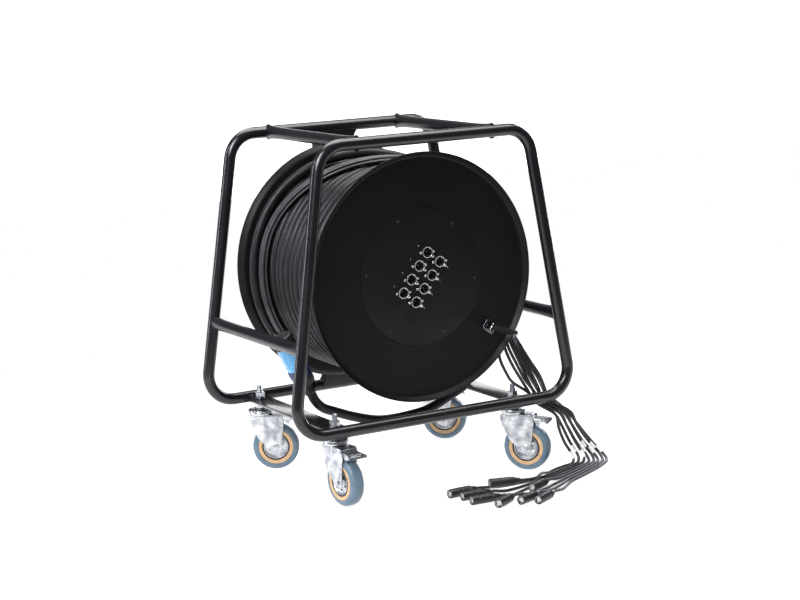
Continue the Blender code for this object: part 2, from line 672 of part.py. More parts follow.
def make_hub():
    """Bearing sleeve that turns on the axle, bolted to the rear flange by its plate."""
    bore = AXLE_RADIUS + GAP
    plate_front = -(REAR_FLANGE_FACE + GAP)
    profile = [
        (bore, BULKHEAD_DEPTH),
        (HUB_RADIUS, BULKHEAD_DEPTH),
        (HUB_RADIUS, plate_front),
        (HUB_PLATE_RADIUS, plate_front),
        (HUB_PLATE_RADIUS, plate_front - HUB_PLATE_THICKNESS),
        (HUB_RADIUS, plate_front - HUB_PLATE_THICKNESS),
        (HUB_RADIUS, plate_front - 2 * HUB_PLATE_THICKNESS),
        (bore, plate_front - 2 * HUB_PLATE_THICKNESS),
    ]
    on_drum_axis(turned("bearing_hub", profile, bare_steel, AXLE_STEPS, closed=True))


def drum_place(along, across, depth):
    """A point on the drum: along the sockets' upward direction, across it, and forward of the middle plane."""
    c, s = math.cos(DRUM_TURN), math.sin(DRUM_TURN)
    return (along * c - across * s, -depth, DRUM_AXIS_HEIGHT + along * s + across * c)


def drum_axes():
    """Turns a shape drawn along X, across Y and forward Z onto the drum."""
    c, s = math.cos(DRUM_TURN), math.sin(DRUM_TURN)
    return Matrix(((c, -s, 0), (0, 0, -1), (s, c, 0))).to_quaternion()


def on_drum(made, along, across, depth):
    made.location = drum_place(along, across, depth)
    made.rotation_mode = "QUATERNION"
    made.rotation_quaternion = drum_axes()
    return made


def socket_places():
    for row in (-0.5, 0.5):
        for column in range(SOCKET_COLUMNS):
            yield row * SOCKET_ROW_SPACING, (column - (SOCKET_COLUMNS - 1) / 2) * SOCKET_COLUMN_SPACING


def make_panel():
    """Round panel with eight chassis sockets: rectangular plate, round collar, blind bore and rear body."""
    face = FRONT_FLANGE_FACE
    panel = cylinder("hub_panel", PANEL_RADIUS, SHEET, (0, 0, 0), (0, 0, 1), panel_black, DRUM_STEPS)
    on_drum(panel, 0, 0, face - SHEET / 2)
    corner = 0.003
    half_length, half_width = SOCKET_PLATE_LENGTH / 2, SOCKET_PLATE_WIDTH / 2
    corners = [(-half_length, -half_width), (half_length, -half_width), (half_length, half_width), (-half_length, half_width)]
    outline = round_corners(corners, corner, 2)
    for along, across in socket_places():
        socket_plate = plate("socket_plate", outline, SOCKET_PLATE_THICKNESS + SHEET / 2)
        on_drum(socket_plate, along, across, face + SOCKET_PLATE_THICKNESS / 2 - SHEET / 4)
        join(panel, socket_plate)
        length = SOCKET_COLLAR_HEIGHT + SOCKET_REAR_DEPTH
        body = cylinder("socket_body", SOCKET_COLLAR_RADIUS, length, (0, 0, 0), (0, 0, 1), None, SOCKET_STEPS)
        on_drum(body, along, across, face + SOCKET_COLLAR_HEIGHT - length / 2)
        join(panel, body)
        bore_length = SOCKET_BORE_DEPTH + SOCKET_COLLAR_HEIGHT
        bore = cylinder("socket_bore", SOCKET_BORE_RADIUS, bore_length, (0, 0, 0), (0, 0, 1), None, SOCKET_STEPS)
        on_drum(bore, along, across, face + SOCKET_COLLAR_HEIGHT + bore_length / 2 - SOCKET_BORE_DEPTH)
        cut(panel, bore)


def make_crank():
    """Clevis on the front flange, hinged rod with its eye and end cap, and the grip that spins on the rod."""
    face = FRONT_FLANGE_FACE + GAP
    pin_depth = FRONT_FLANGE_FACE + CRANK_PIN_HEIGHT
    ear_offset = CRANK_EYE_WIDTH / 2 + GAP + CRANK_EAR_THICKNESS / 2
    bracket = box("crank_bracket", (CRANK_BASE_LENGTH, CRANK_BASE_WIDTH, CRANK_BASE_THICKNESS), (0, 0, 0), chrome)
    on_drum(bracket, CRANK_RADIUS, 0, face + CRANK_BASE_THICKNESS / 2)
    ear_height = CRANK_PIN_HEIGHT - GAP
    ear = [(-CRANK_EYE_RADIUS, -ear_height + CRANK_BASE_THICKNESS / 2), (CRANK_EYE_RADIUS, -ear_height + CRANK_BASE_THICKNESS / 2)]
    ear += arc((0, 0), CRANK_EYE_RADIUS, 0, math.pi, 8)
    to_side = drum_axes() @ Matrix(((1, 0, 0), (0, 0, -1), (0, 1, 0))).to_quaternion()
    for side in (-1, 1):
        lug = plate("crank_ear", ear, CRANK_EAR_THICKNESS)
        on_drum(lug, CRANK_RADIUS, side * ear_offset, pin_depth)
        lug.rotation_quaternion = to_side
        join(bracket, lug)
    pin = cylinder("crank_pin", CRANK_PIN_RADIUS, 2 * ear_offset + CRANK_EAR_THICKNESS + 0.002, (0, 0, 0), (0, 0, 1), None, 12)
    on_drum(pin, CRANK_RADIUS, 0, pin_depth)
    pin.rotation_quaternion = to_side
    join(bracket, pin)

    eye = cylinder("crank_rod", CRANK_EYE_RADIUS, CRANK_EYE_WIDTH, (0, 0, 0), (0, 0, 1), chrome, 16)
    on_drum(eye, CRANK_RADIUS, 0, pin_depth)
    eye.rotation_quaternion = to_side
    rod_length = GRIP_START + GRIP_LENGTH + 2 * GAP + CRANK_CAP_THICKNESS
    collar = GRIP_START - GAP
    profile = [
        (0, rod_length),
        (GRIP_RADIUS * 0.9, rod_length),
        (GRIP_RADIUS * 0.9, rod_length - CRANK_CAP_THICKNESS),
        (CRANK_ROD_RADIUS, rod_length - CRANK_CAP_THICKNESS),
        (CRANK_ROD_RADIUS, collar),
        (CRANK_EYE_WIDTH / 2, collar),
        (CRANK_EYE_WIDTH / 2, CRANK_PIN_RADIUS * 1.6),
        (0, CRANK_PIN_RADIUS * 1.6),
    ]
    rod = turned("crank_rod_shank", profile, None, 14)
    on_drum(rod, CRANK_RADIUS, 0, pin_depth)
    join(eye, rod)
    hole = cylinder("crank_eye_hole", CRANK_PIN_RADIUS + GAP, 2 * CRANK_EYE_WIDTH, (0, 0, 0), (0, 0, 1), None, 12)
    on_drum(hole, CRANK_RADIUS, 0, pin_depth)
    hole.rotation_quaternion = to_side
    cut(eye, hole)

    bore = CRANK_ROD_RADIUS + GAP
    bulge = GRIP_RADIUS - 0.0006
    grip_profile = [
        (bore, GRIP_LENGTH),
        (bulge, GRIP_LENGTH),
        (GRIP_RADIUS, GRIP_LENGTH * 0.75),
        (GRIP_RADIUS, GRIP_LENGTH * 0.35),
        (bulge, 0.002),
        (bulge - 0.001, 0),
        (bore, 0),
    ]
    grip = turned("crank_grip", grip_profile, black_plastic, 16, closed=True)
    on_drum(grip, CRANK_RADIUS, 0, pin_depth + GRIP_START)


# Winding
def winding_path():
    """The trunk cable's outer layer: one helix whose ends run straight for one diameter."""
    front = FRONT_FLANGE_FACE - SHEET - WINDING_EDGE_GAP - TRUNK_RADIUS
    rear = -(REAR_FLANGE_FACE - SHEET - WINDING_EDGE_GAP - TRUNK_RADIUS)
    steps = WINDING_TURNS * WINDING_POINTS_PER_TURN
    points = []
    for i in range(steps + 1):
        angle = 2 * math.pi * i / WINDING_POINTS_PER_TURN
        forward = rear + (front - rear) * i / steps
        points.append(Vector((WINDING_RADIUS * math.cos(angle), WINDING_RADIUS * math.sin(angle), forward)))
    straight = 2 * TRUNK_RADIUS
    points.insert(0, points[0] + Vector((0, -straight, 0)))
    points.append(points[-1] + Vector((0, straight, 0)))
    return points


def least_gap(points, radius, skip):
    """Smallest clear distance between parts of a tube that are more than a few points apart."""
    least = math.inf
    for i, a in enumerate(points):
        for b in points[i + skip :]:
            least = min(least, (a - b).length)
    return least - 2 * radius


def make_winding():
    inner = BARREL_RADIUS + GAP
    outer = WINDING_RADIUS * math.cos(math.pi / WINDING_POINTS_PER_TURN) - TRUNK_RADIUS - GAP
    front = FRONT_FLANGE_FACE - SHEET - WINDING_EDGE_GAP
    rear = -(REAR_FLANGE_FACE - SHEET - WINDING_EDGE_GAP)
    core = [(inner, front), (outer, front), (outer, rear), (inner, rear)]
    on_drum_axis(turned("inner_winding", core, cable_jacket, BARREL_STEPS, closed=True))
    path = winding_path()
    on_drum_axis(tube("cable_winding", path, TRUNK_RADIUS, cable_jacket, resolution=1))
    print("cable_winding least gap to itself, mm:", round(least_gap(path, TRUNK_RADIUS, WINDING_POINTS_PER_TURN // 2) * 1000, 3))


# Loose end of the trunk cable with its plug, and the tails with their connectors
def trunk_lead():
    """The trunk cable's last turn on the winding, from its inner end to the drum's right-hand side."""
    radius = WINDING_RADIUS + TRUNK_SEAT
    points = []
    for i in range(TRUNK_LEAD_STEPS):
        angle = TRUNK_LEAD_TURN * (1 - i / TRUNK_LEAD_STEPS)
        share = min(1.0, angle / TRUNK_LEAD_CROSSING)
        y = TRUNK_PLANE + TRUNK_LEAD_SHIFT * share * share * (3 - 2 * share)
        points.append(Vector((radius * math.cos(angle), y, DRUM_AXIS_HEIGHT + radius * math.sin(angle))))
    return points


def trunk_points():
    radius = WINDING_RADIUS + TRUNK_SEAT
    start = [(radius, DRUM_AXIS_HEIGHT), (radius, DRUM_AXIS_HEIGHT - 2 * TRUNK_RADIUS)]
    first, last = Vector(PLUG_START), Vector(PLUG_END)
    along = (last - first).normalized()
    end = [tuple(first - along * (2 * TRUNK_RADIUS + GAP)), tuple(first - along * GAP)]
    route = [(x, TRUNK_PLANE, z) for x, z in start + TRUNK_ROUTE + end]
    hanging, length = curve_through(route, 2.2 * TRUNK_RADIUS)
    lead = trunk_lead()
    length += sum((b - a).length for a, b in zip(lead, lead[1:] + hanging[:1]))
    return lead + hanging, length


def make_trunk_end():
    points, length = trunk_points()
    tube("trunk_tail", points, TRUNK_RADIUS, cable_jacket, resolution=3)
    print("trunk_tail length, m:", round(length, 3))
    first, last = Vector(PLUG_START), Vector(PLUG_END)
    along = (last - first).normalized()
    direction = (along.x, 0, along.y)

    def on_plug(made, distance):
        made.location = (first.x + along.x * distance, TRUNK_PLANE, first.y + along.y * distance)
        return face_along(made, direction)

    gland = [
        (0, PLUG_GLAND_LENGTH),
        (PLUG_RADIUS, PLUG_GLAND_LENGTH),
        (PLUG_RADIUS, PLUG_GLAND_LENGTH * 0.55),
        (TRUNK_RADIUS * 1.45, PLUG_GLAND_LENGTH * 0.12),
        (TRUNK_RADIUS * 1.3, 0),
        (0, 0),
    ]
    on_plug(turned("plug_gland", gland, black_plastic, 16), 0)
    body_start = PLUG_GLAND_LENGTH + GAP
    collar = 0.018
    body = [
        (0, PLUG_BODY_LENGTH),
        (PLUG_RADIUS, PLUG_BODY_LENGTH),
        (PLUG_RADIUS, collar),
        (PLUG_CAP_RADIUS, collar),
        (PLUG_CAP_RADIUS, 0),
        (0, 0),
    ]
    on_plug(turned("plug_body", body, blue_plastic, 16), body_start)
    cap_start = body_start + PLUG_BODY_LENGTH + GAP
    cap = [
        (0, PLUG_CAP_LENGTH),
        (PLUG_CAP_RADIUS - 0.003, PLUG_CAP_LENGTH),
        (PLUG_CAP_RADIUS, PLUG_CAP_LENGTH - 0.003),
        (PLUG_CAP_RADIUS, 0),
        (0, 0),
    ]
    on_plug(turned("plug_cap", cap, black_plastic, 16), cap_start)


def tail_points(index):
    radius = WINDING_RADIUS + TRUNK_RADIUS + TAIL_RADIUS + TAIL_LIFT
    angle = math.radians(-TAIL_STARTS[index])
    y = TAIL_FIRST_PLANE + TAIL_SPACING * index
    start = Vector((radius * math.cos(angle), y, DRUM_AXIS_HEIGHT + radius * math.sin(angle)))
    down = Vector((math.sin(angle), 0, -math.cos(angle)))
    nose, back, height = CONNECTOR_PLACES[index]
    nose, back = Vector((*nose, height)), Vector((*back, height))
    outward = (back - nose).normalized()
    back = nose + outward * CONNECTOR_LENGTH
    end = [back + outward * (2 * TAIL_RADIUS + GAP), back + outward * GAP]
    route = [start, start + down * 2 * TAIL_RADIUS] + [Vector(p) for p in TAIL_ROUTES[index]] + end
    return curve_through(route, TAIL_POINT_SPACING)


def make_tails():
    """Eight tails that leave the winding side by side, and the connector at the end of each."""
    shell = [
        (0, CONNECTOR_LENGTH),
        (CONNECTOR_RADIUS * 0.6, CONNECTOR_LENGTH),
        (CONNECTOR_RADIUS, CONNECTOR_LENGTH * 0.75),
        (CONNECTOR_RADIUS, 0),
        (CONNECTOR_RADIUS * 0.8, 0),
        (CONNECTOR_RADIUS * 0.8, CONNECTOR_RADIUS),
        (0, CONNECTOR_RADIUS),
    ]
    for index, (nose, back, height) in enumerate(CONNECTOR_PLACES):
        points, length = tail_points(index)
        tube("tail_%d" % (index + 1), points, TAIL_RADIUS, cable_jacket)
        print("tail_%d length, m:" % (index + 1), round(length, 3))
        connector = turned("connector_%d" % (index + 1), shell, black_plastic, 10)
        connector.location = (*nose, height)
        face_along(connector, (back[0] - nose[0], back[1] - nose[1], 0))


# Casters: each is drawn with its wheel trailing along +X from the stem, then turned to its heading
def on_caster(made, corner, out, across, height, turn=None):
    side, y, heading = CASTER_HEADINGS[corner]
    c, s = math.cos(heading), math.sin(heading)
    made.location = (side * CASTER_OFFSET + out * c - across * s, y + out * s + across * c, height)
    made.rotation_mode = "QUATERNION"
    upright_turn = Matrix.Rotation(heading, 3, "Z").to_quaternion()
    made.rotation_quaternion = upright_turn @ (turn if turn else Matrix.Identity(3).to_quaternion())
    return made


SIDE_PLANE = Matrix(((1, 0, 0), (0, 0, -1), (0, 1, 0))).to_quaternion()


def fork_width():
    return WHEEL_WIDTH + 2 * FORK_SIDE_GAP + 2 * FORK_SHEET


def make_stem(corner):
    """Fixed swivel head with its shoulder, threaded stem, washer and nut on the bar."""
    bar_bottom = BAR_TOP_HEIGHT - BAR_THICKNESS - GAP
    washer_bottom = BAR_TOP_HEIGHT + GAP
    washer_top = washer_bottom + STEM_WASHER_THICKNESS
    head_bottom = FORK_CROWN_UNDERSIDE + FORK_CROWN_THICKNESS + RACE_HEIGHT + GAP
    head_top = head_bottom + HEAD_HEIGHT
    profile = [
        (0, STEM_TOP),
        (STEM_RADIUS, STEM_TOP),
        (STEM_RADIUS, washer_top),
        (STEM_WASHER_RADIUS, washer_top),
        (STEM_WASHER_RADIUS, washer_bottom),
        (STEM_RADIUS, washer_bottom),
        (STEM_RADIUS, bar_bottom),
        (STEM_SHOULDER_RADIUS, bar_bottom),
        (STEM_SHOULDER_RADIUS, head_top),
        (RACE_RADIUS * 0.75, head_top),
        (RACE_RADIUS * 1.04, head_bottom + HEAD_HEIGHT * 0.4),
        (RACE_RADIUS * 1.04, head_bottom),
        (0, head_bottom),
    ]
    stem = turned("caster_stem_" + corner, profile, zinc, STEM_STEPS)
    on_caster(stem, corner, 0, 0, 0)
    radius = STEM_NUT_ACROSS_FLATS / math.sqrt(3)
    nut_base = washer_top - STEM_WASHER_THICKNESS / 2
    height = STEM_NUT_HEIGHT + STEM_WASHER_THICKNESS / 2
    nut = cylinder("stem_nut", radius, height, (0, 0, 0), (0, 0, 1), None, 6)
    on_caster(nut, corner, 0, 0, nut_base + height / 2)
    join(stem, nut)


def make_fork(corner):
    """Pressed fork: crown, two legs that narrow to the wheel bolt, ball race, wheel bolt and pedal pin."""
    width = fork_width()
    top = FORK_CROWN_UNDERSIDE + FORK_CROWN_THICKNESS
    axle_height = WHEEL_RADIUS
    foot = 0.0125
    outline = arc((TRAIL, axle_height), foot, math.radians(-155), math.radians(-5), 6)
    outline += [(PEDAL_PIN_OUT + 0.006, 0.096), (PEDAL_PIN_OUT + 0.007, 0.110), (PEDAL_PIN_OUT + 0.003, top)]
    outline += [(-0.020, top), (-0.024, top - 0.005), (-0.020, 0.098), (-0.004, 0.066)]
    fork = plate("caster_fork_" + corner, outline, width, zinc)
    on_caster(fork, corner, 0, 0, 0, SIDE_PLANE)
    slot_width = width - 2 * FORK_SHEET
    slot = box("fork_slot", (0.2, slot_width, FORK_CROWN_UNDERSIDE), (0, 0, 0))
    on_caster(slot, corner, 0, 0, FORK_CROWN_UNDERSIDE / 2)
    cut(fork, slot)
    race = cylinder("fork_race", RACE_RADIUS, RACE_HEIGHT + FORK_CROWN_THICKNESS / 2, (0, 0, 0), (0, 0, 1), None, 18)
    on_caster(race, corner, 0, 0, top + RACE_HEIGHT - (RACE_HEIGHT + FORK_CROWN_THICKNESS / 2) / 2)
    join(fork, race)
    bolt_length = width + 2 * WHEEL_BOLT_HEAD_HEIGHT
    half = bolt_length / 2
    neck = width / 2 - FORK_SHEET / 2
    bolt_profile = [
        (0, half),
        (WHEEL_BOLT_HEAD_RADIUS, half),
        (WHEEL_BOLT_HEAD_RADIUS, neck),
        (WHEEL_BOLT_RADIUS, neck),
        (WHEEL_BOLT_RADIUS, -neck),
        (WHEEL_BOLT_HEAD_RADIUS, -neck),
        (WHEEL_BOLT_HEAD_RADIUS, -half),
        (0, -half),
    ]
    bolt = turned("wheel_bolt", bolt_profile, None, 12)
    on_caster(bolt, corner, TRAIL, 0, axle_height, SIDE_PLANE)
    join(fork, bolt)
    pin = cylinder("pedal_pin", PEDAL_PIN_RADIUS, width - FORK_SHEET, (0, 0, 0), (0, 0, 1), None, 8)
    on_caster(pin, corner, PEDAL_PIN_OUT, 0, PEDAL_PIN_HEIGHT, SIDE_PLANE)
    join(fork, pin)


def widen(mesh, start, end, factor):
    """Splits a mesh across X at the start and scales its Z from there, up to the factor at the end."""
    shape = bmesh.new()
    shape.from_mesh(mesh)
    parts = shape.verts[:] + shape.edges[:] + shape.faces[:]
    bmesh.ops.bisect_plane(shape, geom=parts, plane_co=(start, 0, 0), plane_no=(1, 0, 0))
    for vertex in shape.verts:
        share = max(0.0, (vertex.co.x - start) / (end - start))
        vertex.co.z *= 1 + share * (factor - 1)
    shape.to_mesh(mesh)
    shape.free()
    smooth(mesh)


def make_pedal(corner):
    """Brake pedal: a curl round its pin, an arm that widens to the tread and a shoe above the tyre."""
    half_width = fork_width() / 2 - FORK_SHEET - GAP
    curl = PEDAL_CURL_RADIUS
    reach = PEDAL_REACH - PEDAL_PIN_OUT
    outline = arc((0, 0), curl, math.radians(35), math.radians(300), 8)
    outline += [(0.0105, -0.0052), (0.0125, -0.0105), (0.0195, -0.0115), (0.0205, -0.0045), (reach - 0.002, -0.0048), (reach, -0.0075)]
    outline += [(reach + 0.0022, -0.0070), (reach + 0.0002, -0.0018), (0.0200, 0.0012), (0.0110, 0.0020)]
    pedal = plate("brake_pedal_" + corner, outline, 2 * half_width, zinc)
    widen(pedal.data, 0.0206, reach + 0.0022, PEDAL_TIP_HALF_WIDTH / half_width)
    on_caster(pedal, corner, PEDAL_PIN_OUT, 0, PEDAL_PIN_HEIGHT, SIDE_PLANE)
    hole = cylinder("pedal_hole", PEDAL_PIN_RADIUS + GAP, 3 * half_width, (0, 0, 0), (0, 0, 1), None, 8)
    on_caster(hole, corner, PEDAL_PIN_OUT, 0, PEDAL_PIN_HEIGHT, SIDE_PLANE)
    cut(pedal, hole)


def make_wheel(corner):
    half = WHEEL_WIDTH / 2
    rim = TYRE_INNER_RADIUS - GAP
    hub_profile = [
        (HUB_BORE_RADIUS, half + FORK_SIDE_GAP * 0.8),
        (0.0095, half + FORK_SIDE_GAP * 0.8),
        (0.0110, half - 0.005),
        (0.0262, half - 0.005),
        (rim, half - 0.001),
    ]
    hub_profile += [(radius, -height) for radius, height in reversed(hub_profile)]
    hub = turned("wheel_hub_" + corner, hub_profile, zinc, CASTER_STEPS, closed=True)
    on_caster(hub, corner, TRAIL, 0, WHEEL_RADIUS, SIDE_PLANE)
    tyre_profile = [
        (TYRE_INNER_RADIUS, half - 0.002),
        (TYRE_INNER_RADIUS + 0.009, half),
        (WHEEL_RADIUS - TYRE_SHOULDER, half - 0.001),
        (WHEEL_RADIUS, half - TYRE_SHOULDER * 1.3),
    ]
    tyre_profile += [(radius, -height) for radius, height in reversed(tyre_profile)]
    tyre = turned("tyre_" + corner, tyre_profile, grey_tyre, CASTER_STEPS, closed=True)
    on_caster(tyre, corner, TRAIL, 0, WHEEL_RADIUS, SIDE_PLANE)


def make_casters():
    for corner in CASTER_HEADINGS:
        make_stem(corner)
        make_fork(corner)
        make_pedal(corner)
        make_wheel(corner)


make_loops()
make_cross_tubes()
make_caster_bars()
make_upright()
make_axle()
make_flanges()
make_barrel()
make_hub()
make_panel()
make_crank()
make_winding()
make_trunk_end()
make_tails()
make_casters()
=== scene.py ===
import bpy
import math
import random
from mathutils import Matrix, Vector


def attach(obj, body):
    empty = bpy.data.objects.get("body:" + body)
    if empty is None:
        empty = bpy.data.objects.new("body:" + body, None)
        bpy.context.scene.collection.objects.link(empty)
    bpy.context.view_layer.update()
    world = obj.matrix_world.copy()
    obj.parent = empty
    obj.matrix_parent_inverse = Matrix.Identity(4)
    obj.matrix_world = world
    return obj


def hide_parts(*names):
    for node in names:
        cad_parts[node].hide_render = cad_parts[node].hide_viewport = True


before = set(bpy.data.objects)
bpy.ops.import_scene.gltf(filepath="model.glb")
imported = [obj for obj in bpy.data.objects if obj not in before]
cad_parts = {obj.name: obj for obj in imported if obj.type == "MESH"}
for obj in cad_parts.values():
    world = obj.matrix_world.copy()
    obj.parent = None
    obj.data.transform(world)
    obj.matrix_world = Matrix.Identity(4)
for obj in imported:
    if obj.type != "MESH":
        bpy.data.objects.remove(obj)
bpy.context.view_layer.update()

midY = 0.01815  # the loops' middle plane
drumHeight = 0.437
casterOffset = 0.214
hairGap = 0.0003
origin, upward = Vector((0, 0, 0)), Vector((0, 0, 1))
rearward, forward = Vector((0, 1, 0)), Vector((0, -1, 0))
sideways = Matrix(((1, 0, 0, 0), (0, 0, -1, 0), (0, 1, 0, 0), (0, 0, 0, 1)))


# the camera, fitted to the photo
cameraLook = {
    "place": (-2.0369, -3.5978 + midY, 1.0961), "azimuth": -29.97, "elevation": 9.9985, "roll": -2.18,
    "lens": 89.5, "sensor": 36, "farEnd": 50, "picture": (800, 600),
}


def makeCamera(look):
    turn, tilt, roll = (math.radians(look[key]) for key in ("azimuth", "elevation", "roll"))
    back = Vector((math.sin(turn) * math.cos(tilt), -math.cos(turn) * math.cos(tilt), math.sin(tilt)))
    right = Vector((math.cos(turn), math.sin(turn), 0))
    up = back.cross(right)
    rolledRight = right * math.cos(roll) + up * math.sin(roll)
    rolledUp = up * math.cos(roll) - right * math.sin(roll)
    bpy.ops.object.camera_add(location=look["place"])
    camera = bpy.context.object
    camera.name = "photoCamera"
    axes = Matrix((rolledRight, rolledUp, back)).transposed()
    camera.matrix_world = Matrix.Translation(look["place"]) @ axes.to_4x4()
    camera.data.lens = look["lens"]
    camera.data.sensor_width = look["sensor"]
    camera.data.clip_end = look["farEnd"]
    bpy.context.scene.camera = camera


makeCamera(cameraLook)
print("camera placed")


# materials
def addNode(tree, kind, values=()):
    node = tree.nodes.new("ShaderNode" + kind)
    for label, value in dict(values).items():
        node.inputs[label].default_value = value
    return node


def wire(tree, *joins):
    for source, output, target, entry in joins:
        tree.links.new(source.outputs[output], target.inputs[entry])


def surface(tree):
    return tree.nodes["Principled BSDF"]


def newMaterial(name, color, roughness, metallic=0.0, coat=0.0, coatRoughness=0.1, specular=0.5):
    material = bpy.data.materials.new(name)
    material.use_nodes = True
    inputs = surface(material.node_tree).inputs
    inputs["Base Color"].default_value = (*color, 1)
    inputs["Roughness"].default_value = roughness
    inputs["Metallic"].default_value = metallic
    inputs["Coat Weight"].default_value = coat
    inputs["Coat Roughness"].default_value = coatRoughness
    inputs["Specular IOR Level"].default_value = specular
    return material


def addNoise(tree, scale, detail, stretch=(1, 1, 1)):
    coords = addNode(tree, "TexCoord")
    mapping = addNode(tree, "Mapping", {"Scale": stretch})
    noise = addNode(tree, "TexNoise", {"Scale": scale, "Detail": detail})
    wire(tree, (coords, "Object", mapping, "Vector"), (mapping, "Vector", noise, "Vector"))
    return noise


def varyColor(tree, noise, dark, light):
    ramp = addNode(tree, "ValToRGB")
    for stop, position, color in zip(ramp.color_ramp.elements, (0.35, 0.65), (dark, light)):
        stop.position = position
        stop.color = (*color, 1)
    wire(tree, (noise, "Fac", ramp, "Fac"), (ramp, "Color", surface(tree), "Base Color"))


def varyRoughness(tree, noise, low, high):
    spread = addNode(tree, "MapRange", {"From Min": 0.3, "From Max": 0.7, "To Min": low, "To Max": high})
    wire(tree, (noise, "Fac", spread, "Value"), (spread, "Result", surface(tree), "Roughness"))


def addBump(tree, noise, strength, distance):
    bump = addNode(tree, "Bump", {"Strength": strength, "Distance": distance})
    wire(tree, (noise, "Fac", bump, "Height"), (bump, "Normal", surface(tree), "Normal"))


# name, colour, roughness and other settings; then each change over the surface with its noise and its range
materialLooks = {
    "glossBlack": ("glossBlackCoat", (0.006, 0.006, 0.008), 0.26, {"coat": 0.2, "coatRoughness": 0.14},
                   (addBump, (420, 3), 0.16, 0.0004), (varyRoughness, (9, 5), 0.2, 0.34)),
    "barBlack": ("barBlackCoat", (0.012, 0.012, 0.013), 0.2, {"coat": 0.6, "coatRoughness": 0.15},
                 (varyRoughness, (14, 5), 0.16, 0.3)),
    "satinBlack": ("satinBlackCoat", (0.0055, 0.0055, 0.006), 0.42, {"specular": 0.16},
                   (addBump, (900, 3), 0.12, 0.0003), (varyRoughness, (7, 6), 0.36, 0.5)),
    "panelBlack": ("panelBlackCoat", (0.0062, 0.0062, 0.0066), 0.5, {"specular": 0.16},
                   (addBump, (1400, 2), 0.2, 0.0002), (varyRoughness, (12, 5), 0.42, 0.56)),
    "zinc": ("brightZinc", (0.78, 0.8, 0.82), 0.26, {"metallic": 1.0},
             (varyColor, (55, 6), (0.34, 0.36, 0.40), (0.84, 0.85, 0.87)),
             (varyRoughness, (160, 4), 0.2, 0.42), (addBump, (700, 2), 0.1, 0.0002)),
    "bareSteel": ("turnedSteel", (0.5, 0.5, 0.51), 0.34, {"metallic": 1.0},
                  (varyColor, (240, 4, (1, 6, 1)), (0.4, 0.4, 0.41), (0.6, 0.6, 0.61)),
                  (varyRoughness, (240, 4, (1, 6, 1)), 0.26, 0.44)),
    "darkChrome": ("darkChrome", (0.13, 0.13, 0.14), 0.14, {"metallic": 1.0},
                   (varyRoughness, (60, 5), 0.08, 0.2)),
    "nickel": ("satinNickel", (0.72, 0.70, 0.68), 0.24, {"metallic": 1.0},
               (varyRoughness, (500, 4), 0.18, 0.34)),
    "jacket": ("cableJacket", (0.007, 0.007, 0.008), 0.38, {"specular": 0.3},
               (varyColor, (18, 6), (0.005, 0.005, 0.006), (0.009, 0.009, 0.011)),
               (varyRoughness, (60, 5), 0.34, 0.5), (addBump, (260, 4), 0.14, 0.0005)),
    "thinJacket": ("tailJacket", (0.014, 0.014, 0.016), 0.28, {"specular": 0.6},
                   (varyColor, (30, 5), (0.011, 0.011, 0.013), (0.020, 0.020, 0.023)),
                   (varyRoughness, (90, 4), 0.3, 0.46)),
    "blackPlastic": ("blackPlastic", (0.014, 0.014, 0.015), 0.4, {},
                     (addBump, (1200, 3), 0.25, 0.0002), (varyRoughness, (40, 4), 0.32, 0.48)),
    "bluePlastic": ("bluePlastic", (0.008, 0.03, 0.16), 0.28, {"coat": 0.2},
                    (varyColor, (45, 4), (0.004, 0.014, 0.075), (0.006, 0.019, 0.10)),
                    (varyRoughness, (120, 4), 0.22, 0.36)),
    "paleBlue": ("paleBluePlastic", (0.10, 0.42, 0.80), 0.16, {"coat": 0.8, "coatRoughness": 0.06},
                 (varyRoughness, (120, 4), 0.13, 0.24)),
    "greyRubber": ("greyTyreRubber", (0.105, 0.165, 0.22), 0.44, {"coat": 0.35, "coatRoughness": 0.22},
                   (varyColor, (70, 6), (0.09, 0.145, 0.195), (0.12, 0.185, 0.245)),
                   (varyRoughness, (200, 4), 0.4, 0.58), (addBump, (500, 4), 0.18, 0.0003)),
    "tanPlastic": ("tanWheelRim", (0.6, 0.39, 0.21), 0.45, {},
                   (varyColor, (90, 5), (0.55, 0.35, 0.18), (0.66, 0.43, 0.24))),
    "labelWhite": ("labelWhite", (0.5, 0.5, 0.5), 0.5, {},
                   (varyColor, (400, 3), (0.42, 0.42, 0.42), (0.58, 0.58, 0.58))),
    "sleeveWhite": ("sleeveWhite", (0.7, 0.7, 0.7), 0.4, {},
                    (varyColor, (200, 3), (0.86, 0.86, 0.86), (0.94, 0.94, 0.94))),
    "gold": ("contactGold", (0.75, 0.52, 0.2), 0.25, {"metallic": 1.0}, (varyRoughness, (600, 3), 0.2, 0.36)),
    "deepBlack": ("deepBlackInsert", (0.004, 0.004, 0.004), 0.6, {}, (addBump, (1500, 2), 0.2, 0.0002)),
}
paint = {}
for key, (name, color, roughness, settings, *changes) in materialLooks.items():
    paint[key] = newMaterial(name, color, roughness, **settings)
    tree = paint[key].node_tree
    for change, noise, *values in changes:
        change(tree, addNoise(tree, *noise), *values)
print("materials made:", len(paint))


# modelling help
def give(piece, body, node=None):
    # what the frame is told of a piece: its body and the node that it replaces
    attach(piece, body)
    if node:
        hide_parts(node)
    return piece


def coat(material, *nodes):
    for node in nodes:
        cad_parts[node].material_slots[0].material = paint[material]


def drop(*pieces):
    for piece in pieces:
        bpy.data.objects.remove(piece, do_unlink=True)


def selectNothing():
    if bpy.context.object and bpy.context.object.mode != "OBJECT":
        bpy.ops.object.mode_set(mode="OBJECT")
    bpy.ops.object.select_all(action="DESELECT")


def pickUp(piece):
    selectNothing()
    piece.select_set(True)
    bpy.context.view_layer.objects.active = piece


def settle(piece):
    pickUp(piece)
    bpy.ops.object.transform_apply(location=True, rotation=True, scale=True)
    return piece


